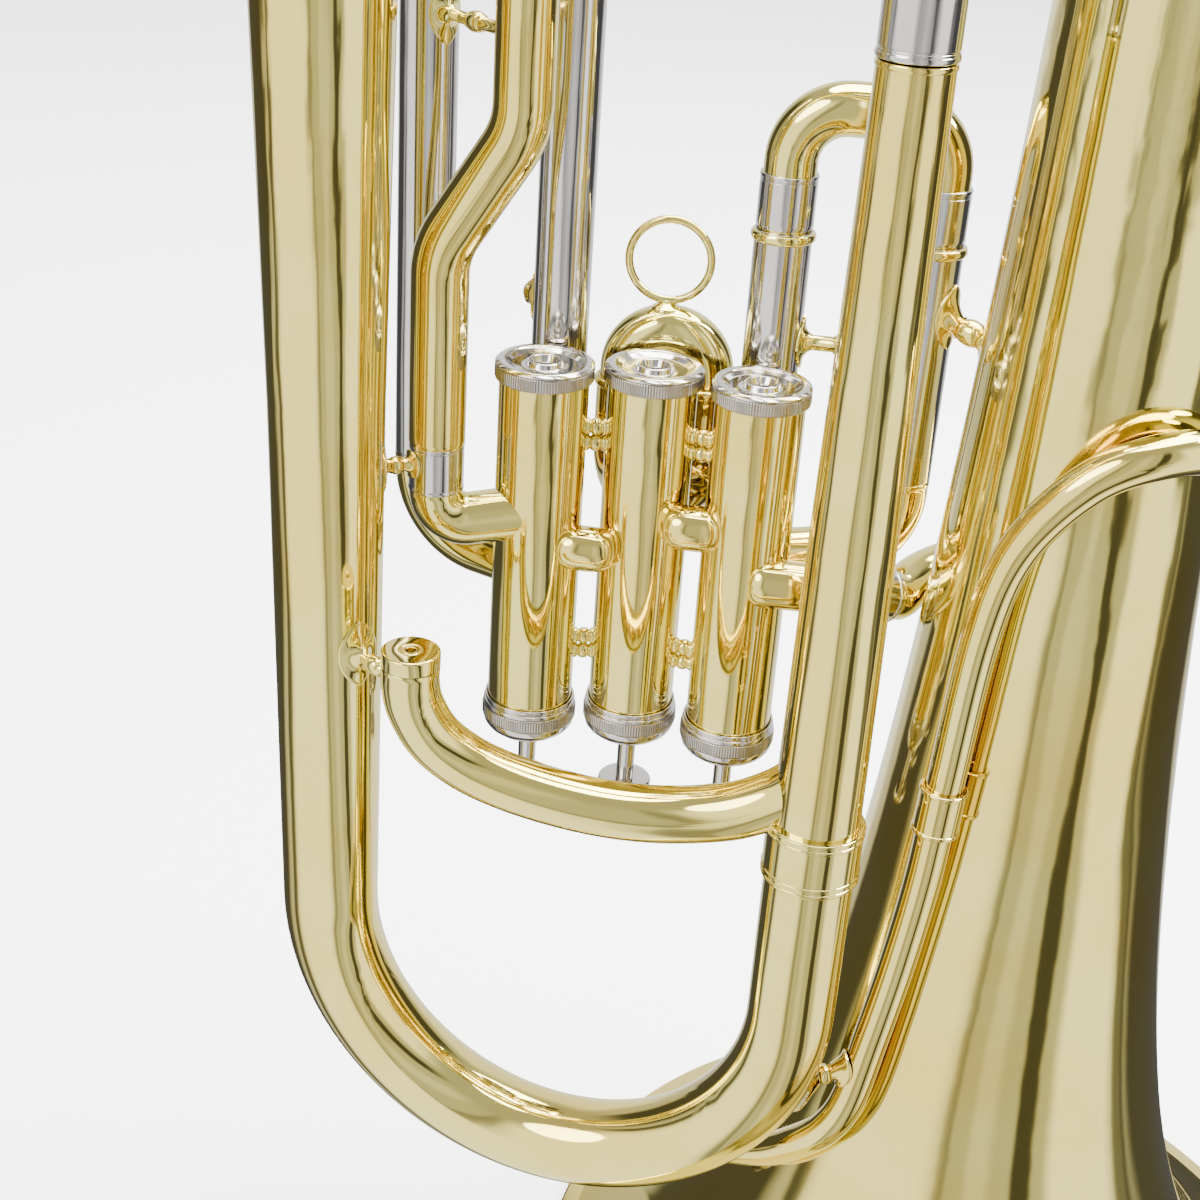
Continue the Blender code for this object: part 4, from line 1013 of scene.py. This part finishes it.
def buildBraces():
    z = braces["guard"]["z"]
    outer = Tube((*outerLeg, z), upward, float(sizeAt(outerSize, z)))
    guardTube = Tube((*guard["top"][:2], z), upward, guard["r"])
    brace("guardBrace", outer, guardTube, braces["guard"], "guard_brace")
    z = braces["sTube"]["z"]
    outer = Tube((*outerLeg, z), upward, float(sizeAt(outerSize, z)))
    band = Tube((*sTube["lower"], z - 1.0), upward, sTube["ferruleR"])
    brace("sTubeBrace", outer, band, braces["sTube"], "s_tube_brace")
    z = braces["slide3"]["z"]
    sleeve = Tube((*slides[3]["legs"][0], z), upward, leg["outer"])
    upper = Tube((*sTube["upper"], z), upward, sTube["r"])
    brace("slide3Brace", sleeve, upper, braces["slide3"], "slide_3_brace")
    z = braces["stay"]["z"]
    left, right = (Tube((*place, z), upward, leg["outer"]) for place in slides[1]["legs"])
    brace("slide1Stay", left, right, braces["stay"], "slide_1_stay")
    z = braces["bell"]["z"]
    sleeve = Tube((*slides[1]["legs"][1], z), upward, leg["outer"])
    z -= bellBraceDrop
    flank = Tube((*bell["axis"], z), upward, bellRadius(z) + 0.3)
    brace("bellBrace", sleeve, flank, braces["bell"], "bell_brace")
    limb, pipe = Tube(bendPoint, bendWay, bendR), Tube(pipePoint, pipeWay, lead["r"][1])
    brace("leadpipeBrace", limb, pipe, braces["leadpipe"], "leadpipe_brace")


buildBraces()

waterKey = {
    "z": 129.6, "angle": 152.0, "leaf": 10.0, "boss": 4.1, "height": 3.0, "button": 2.5, "travel": 1.2,
}


def buildWaterKey():
    x, y = slides[3]["legs"][1]
    turn = math.radians(waterKey["angle"])
    out = np.array((math.cos(turn), math.sin(turn), 0.0))
    on = Tube((x, y, waterKey["z"]), upward, leg["outer"])
    grids = [saddle(on, out, waterKey["leaf"], 0.5, 1.2, True)]
    start = on.point + out * on.radius
    high, r, key = waterKey["height"] + 0.45, waterKey["boss"], waterKey["button"]
    outline = [
        (0, 0.001), (0, r + 0.7), (0.8, r + 0.4), (1.3, r), (high - 0.6, r), (high, r - 0.5),
        (high, key + 0.3), (0.9, key + 0.3), (0.9, 0.001),
    ]
    path = np.array((start, start + out * 10.0))
    grids.append(carry(path, soften(outline, 0.3), 48))
    piece("waterKeyBody", grids, brass, nodes=("water_key_body",))
    low, top = 2.8, high + waterKey["travel"] + 0.6
    outline = [(low, 0.001), (low, key), (top - 0.7, key), (top - 0.2, key - 0.9), (top, 0.001)]
    grid = carry(path, soften(outline, 0.35), 40)
    piece("waterKeyButton", [grid], brass, "water_key", ("water_key_button",))


buildWaterKey()
print("braces and water key built")

# degrees: pitch is down, yaw is to the left, roll is anticlockwise
view = {
    "place": (45.28, -519.76, 307.66), "pitch": 27.04, "roll": 3.752, "yaw": 6.225, "lens": 55.72,
    "sensor": 36.0, "nearest": 0.01,
}


def makeCamera():
    pitch, roll, yaw = (math.radians(view[key]) for key in ("pitch", "roll", "yaw"))
    flat = math.cos(pitch)
    ahead = np.array((-math.sin(yaw) * flat, math.cos(yaw) * flat, -math.sin(pitch)))
    level = np.array((math.cos(yaw), math.sin(yaw), 0.0))
    above = np.cross(level, ahead)
    right = math.cos(roll) * level + math.sin(roll) * above
    top = -math.sin(roll) * level + math.cos(roll) * above
    data = bpy.data.cameras.new("camera")
    data.lens = view["lens"]
    data.sensor_width = view["sensor"]
    data.clip_start = view["nearest"]
    camera = bpy.data.objects.new("camera", data)
    bpy.context.scene.collection.objects.link(camera)
    placed = Matrix(np.c_[right, top, -ahead].tolist()).to_4x4()
    placed.translation = Vector(toWorld(view["place"]))
    camera.matrix_world = placed
    bpy.context.scene.camera = camera


# Bearings in radians round the object, nought towards the camera's side and positive to its right.
# Each band: middle, half width, soft edge, and how much brighter it is than the rest.
studioBands = (
    (-0.80, 0.40, 0.24, 1.35), (1.10, 0.22, 0.16, 1.4), (0.55, 0.06, 0.05, -0.75),
    (-0.20, 0.03, 0.05, -0.45), (-1.42, 0.04, 0.05, -0.7), (1.50, 0.04, 0.05, -0.6),
    (0.18, 0.05, 0.10, 0.35), (1.95, 0.30, 0.14, -0.75), (-1.95, 0.28, 0.14, -0.75),
    (3.0, 0.40, 0.20, 0.8), (-3.0, 0.30, 0.20, 0.8),
)
baseLevel, darkest = 0.85, 0.04
# what the camera and the floor see of the room, and the ceiling's level in reflections
room = {"seen": 9.0, "falling": 2.4, "ceiling": 0.7, "ceilingFrom": 0.5, "ceilingFull": 0.8}


def bands(graph, x, y, wobble):
    # level = base + the sum of each band's height x its soft window
    bearing = x.apply("ARCTAN2", x, 0.0 - y) + wobble
    level = baseLevel
    for middle, half, soft, height in studioBands:
        level = (bearing - middle).size().smooth(half + soft, half) * height + level
    return level.apply("MAXIMUM", level, darkest)


floorSize = {"half": 9.0, "gap": 0.0002}  # metres


def makeFloor():
    # pale and plain where the camera sees it; metal sees bright and dark bands, as in a studio
    half, z = floorSize["half"], cadBox[0][2] - floorSize["gap"]
    material = bpy.data.materials.new("paleFloor")
    material.use_nodes = True
    tree = material.node_tree
    graph = Graph(tree)
    shader = tree.nodes["Principled BSDF"]
    place = graph.out("ShaderNodeTexCoord", "Object")
    cloud = graph.noise(place, 1.5, 2.0)
    colour = graph.mix(cloud, (0.93, 0.93, 0.93, 1.0), (0.96, 0.96, 0.955, 1.0))
    tree.links.new(colour.socket, shader.inputs["Base Color"])
    shader.inputs["Roughness"].default_value = 0.9
    parts = graph.node("ShaderNodeSeparateXYZ", None, {0: place})
    x, y = (Value(graph, parts.outputs[k]) for k in range(2))
    level = bands(graph, x, y, (graph.noise(place, 2.2, 1.0) - 0.5) * 0.5)
    glow = graph.node("ShaderNodeEmission", None, {"Color": level})
    seen = graph.out("ShaderNodeLightPath", "Is Camera Ray")
    joined = graph.node("ShaderNodeMixShader", None, {0: seen})
    tree.links.new(glow.outputs[0], joined.inputs[1])
    tree.links.new(shader.outputs[0], joined.inputs[2])
    tree.links.new(joined.outputs[0], tree.nodes["Material Output"].inputs["Surface"])
    corners = [(-half, -half, z), (half, -half, z), (half, half, z), (-half, half, z)]
    mesh = bpy.data.meshes.new("floor")
    mesh.from_pydata(corners, [], [(0, 1, 2, 3)])
    mesh.materials.append(material)
    floor = bpy.data.objects.new("floor", mesh)
    bpy.context.scene.collection.objects.link(floor)


def makeWorld():
    world = bpy.data.worlds.new("studio")
    world.use_nodes = True
    bpy.context.scene.world = world
    tree = world.node_tree
    graph = Graph(tree)
    back = tree.nodes["Background"]
    direction = graph.out("ShaderNodeTexCoord", "Generated")
    parts = graph.node("ShaderNodeSeparateXYZ", None, {0: direction})
    x, y, z = (Value(graph, parts.outputs[k]) for k in range(3))
    level = bands(graph, x, y, 0.0)
    # the ceiling is an even pale cloth over the bands
    roof = z.smooth(room["ceilingFrom"], room["ceilingFull"])
    level = level * (1.0 - roof) + roof * room["ceiling"]
    # the camera and the floor see a plain bright room
    path = graph.node("ShaderNodeLightPath")
    camera = Value(graph, path.outputs["Is Camera Ray"])
    diffuse = Value(graph, path.outputs["Is Diffuse Ray"])
    plain = camera.apply("MAXIMUM", camera, diffuse)
    level = level * (1.0 - plain) + camera * room["seen"] + diffuse * room["falling"]
    tree.links.new(level.socket, back.inputs["Color"])
    back.inputs["Strength"].default_value = 1.0


# name, place and size in metres, and power in watts
lamps = (
    ("softLeft", (-1.3, -1.2, 1.7), 1.3, 40.0),
    ("softRight", (1.4, 0.3, 1.7), 0.9, 110.0),
    ("softTop", (0.2, 0.5, 2.6), 2.4, 270.0),
)
lampAim = Vector((0.0, 0.0, 0.3))


def makeLights():
    for name, place, size, power in lamps:
        data = bpy.data.lights.new(name, "AREA")
        data.shape = "DISK"
        data.size = size
        data.energy = power
        lamp = bpy.data.objects.new(name, data)
        lamp.location = place
        lamp.rotation_euler = (lampAim - Vector(place)).to_track_quat("-Z", "Y").to_euler()
        bpy.context.scene.collection.objects.link(lamp)


makeCamera()
makeFloor()
makeWorld()
makeLights()
print("stage set")
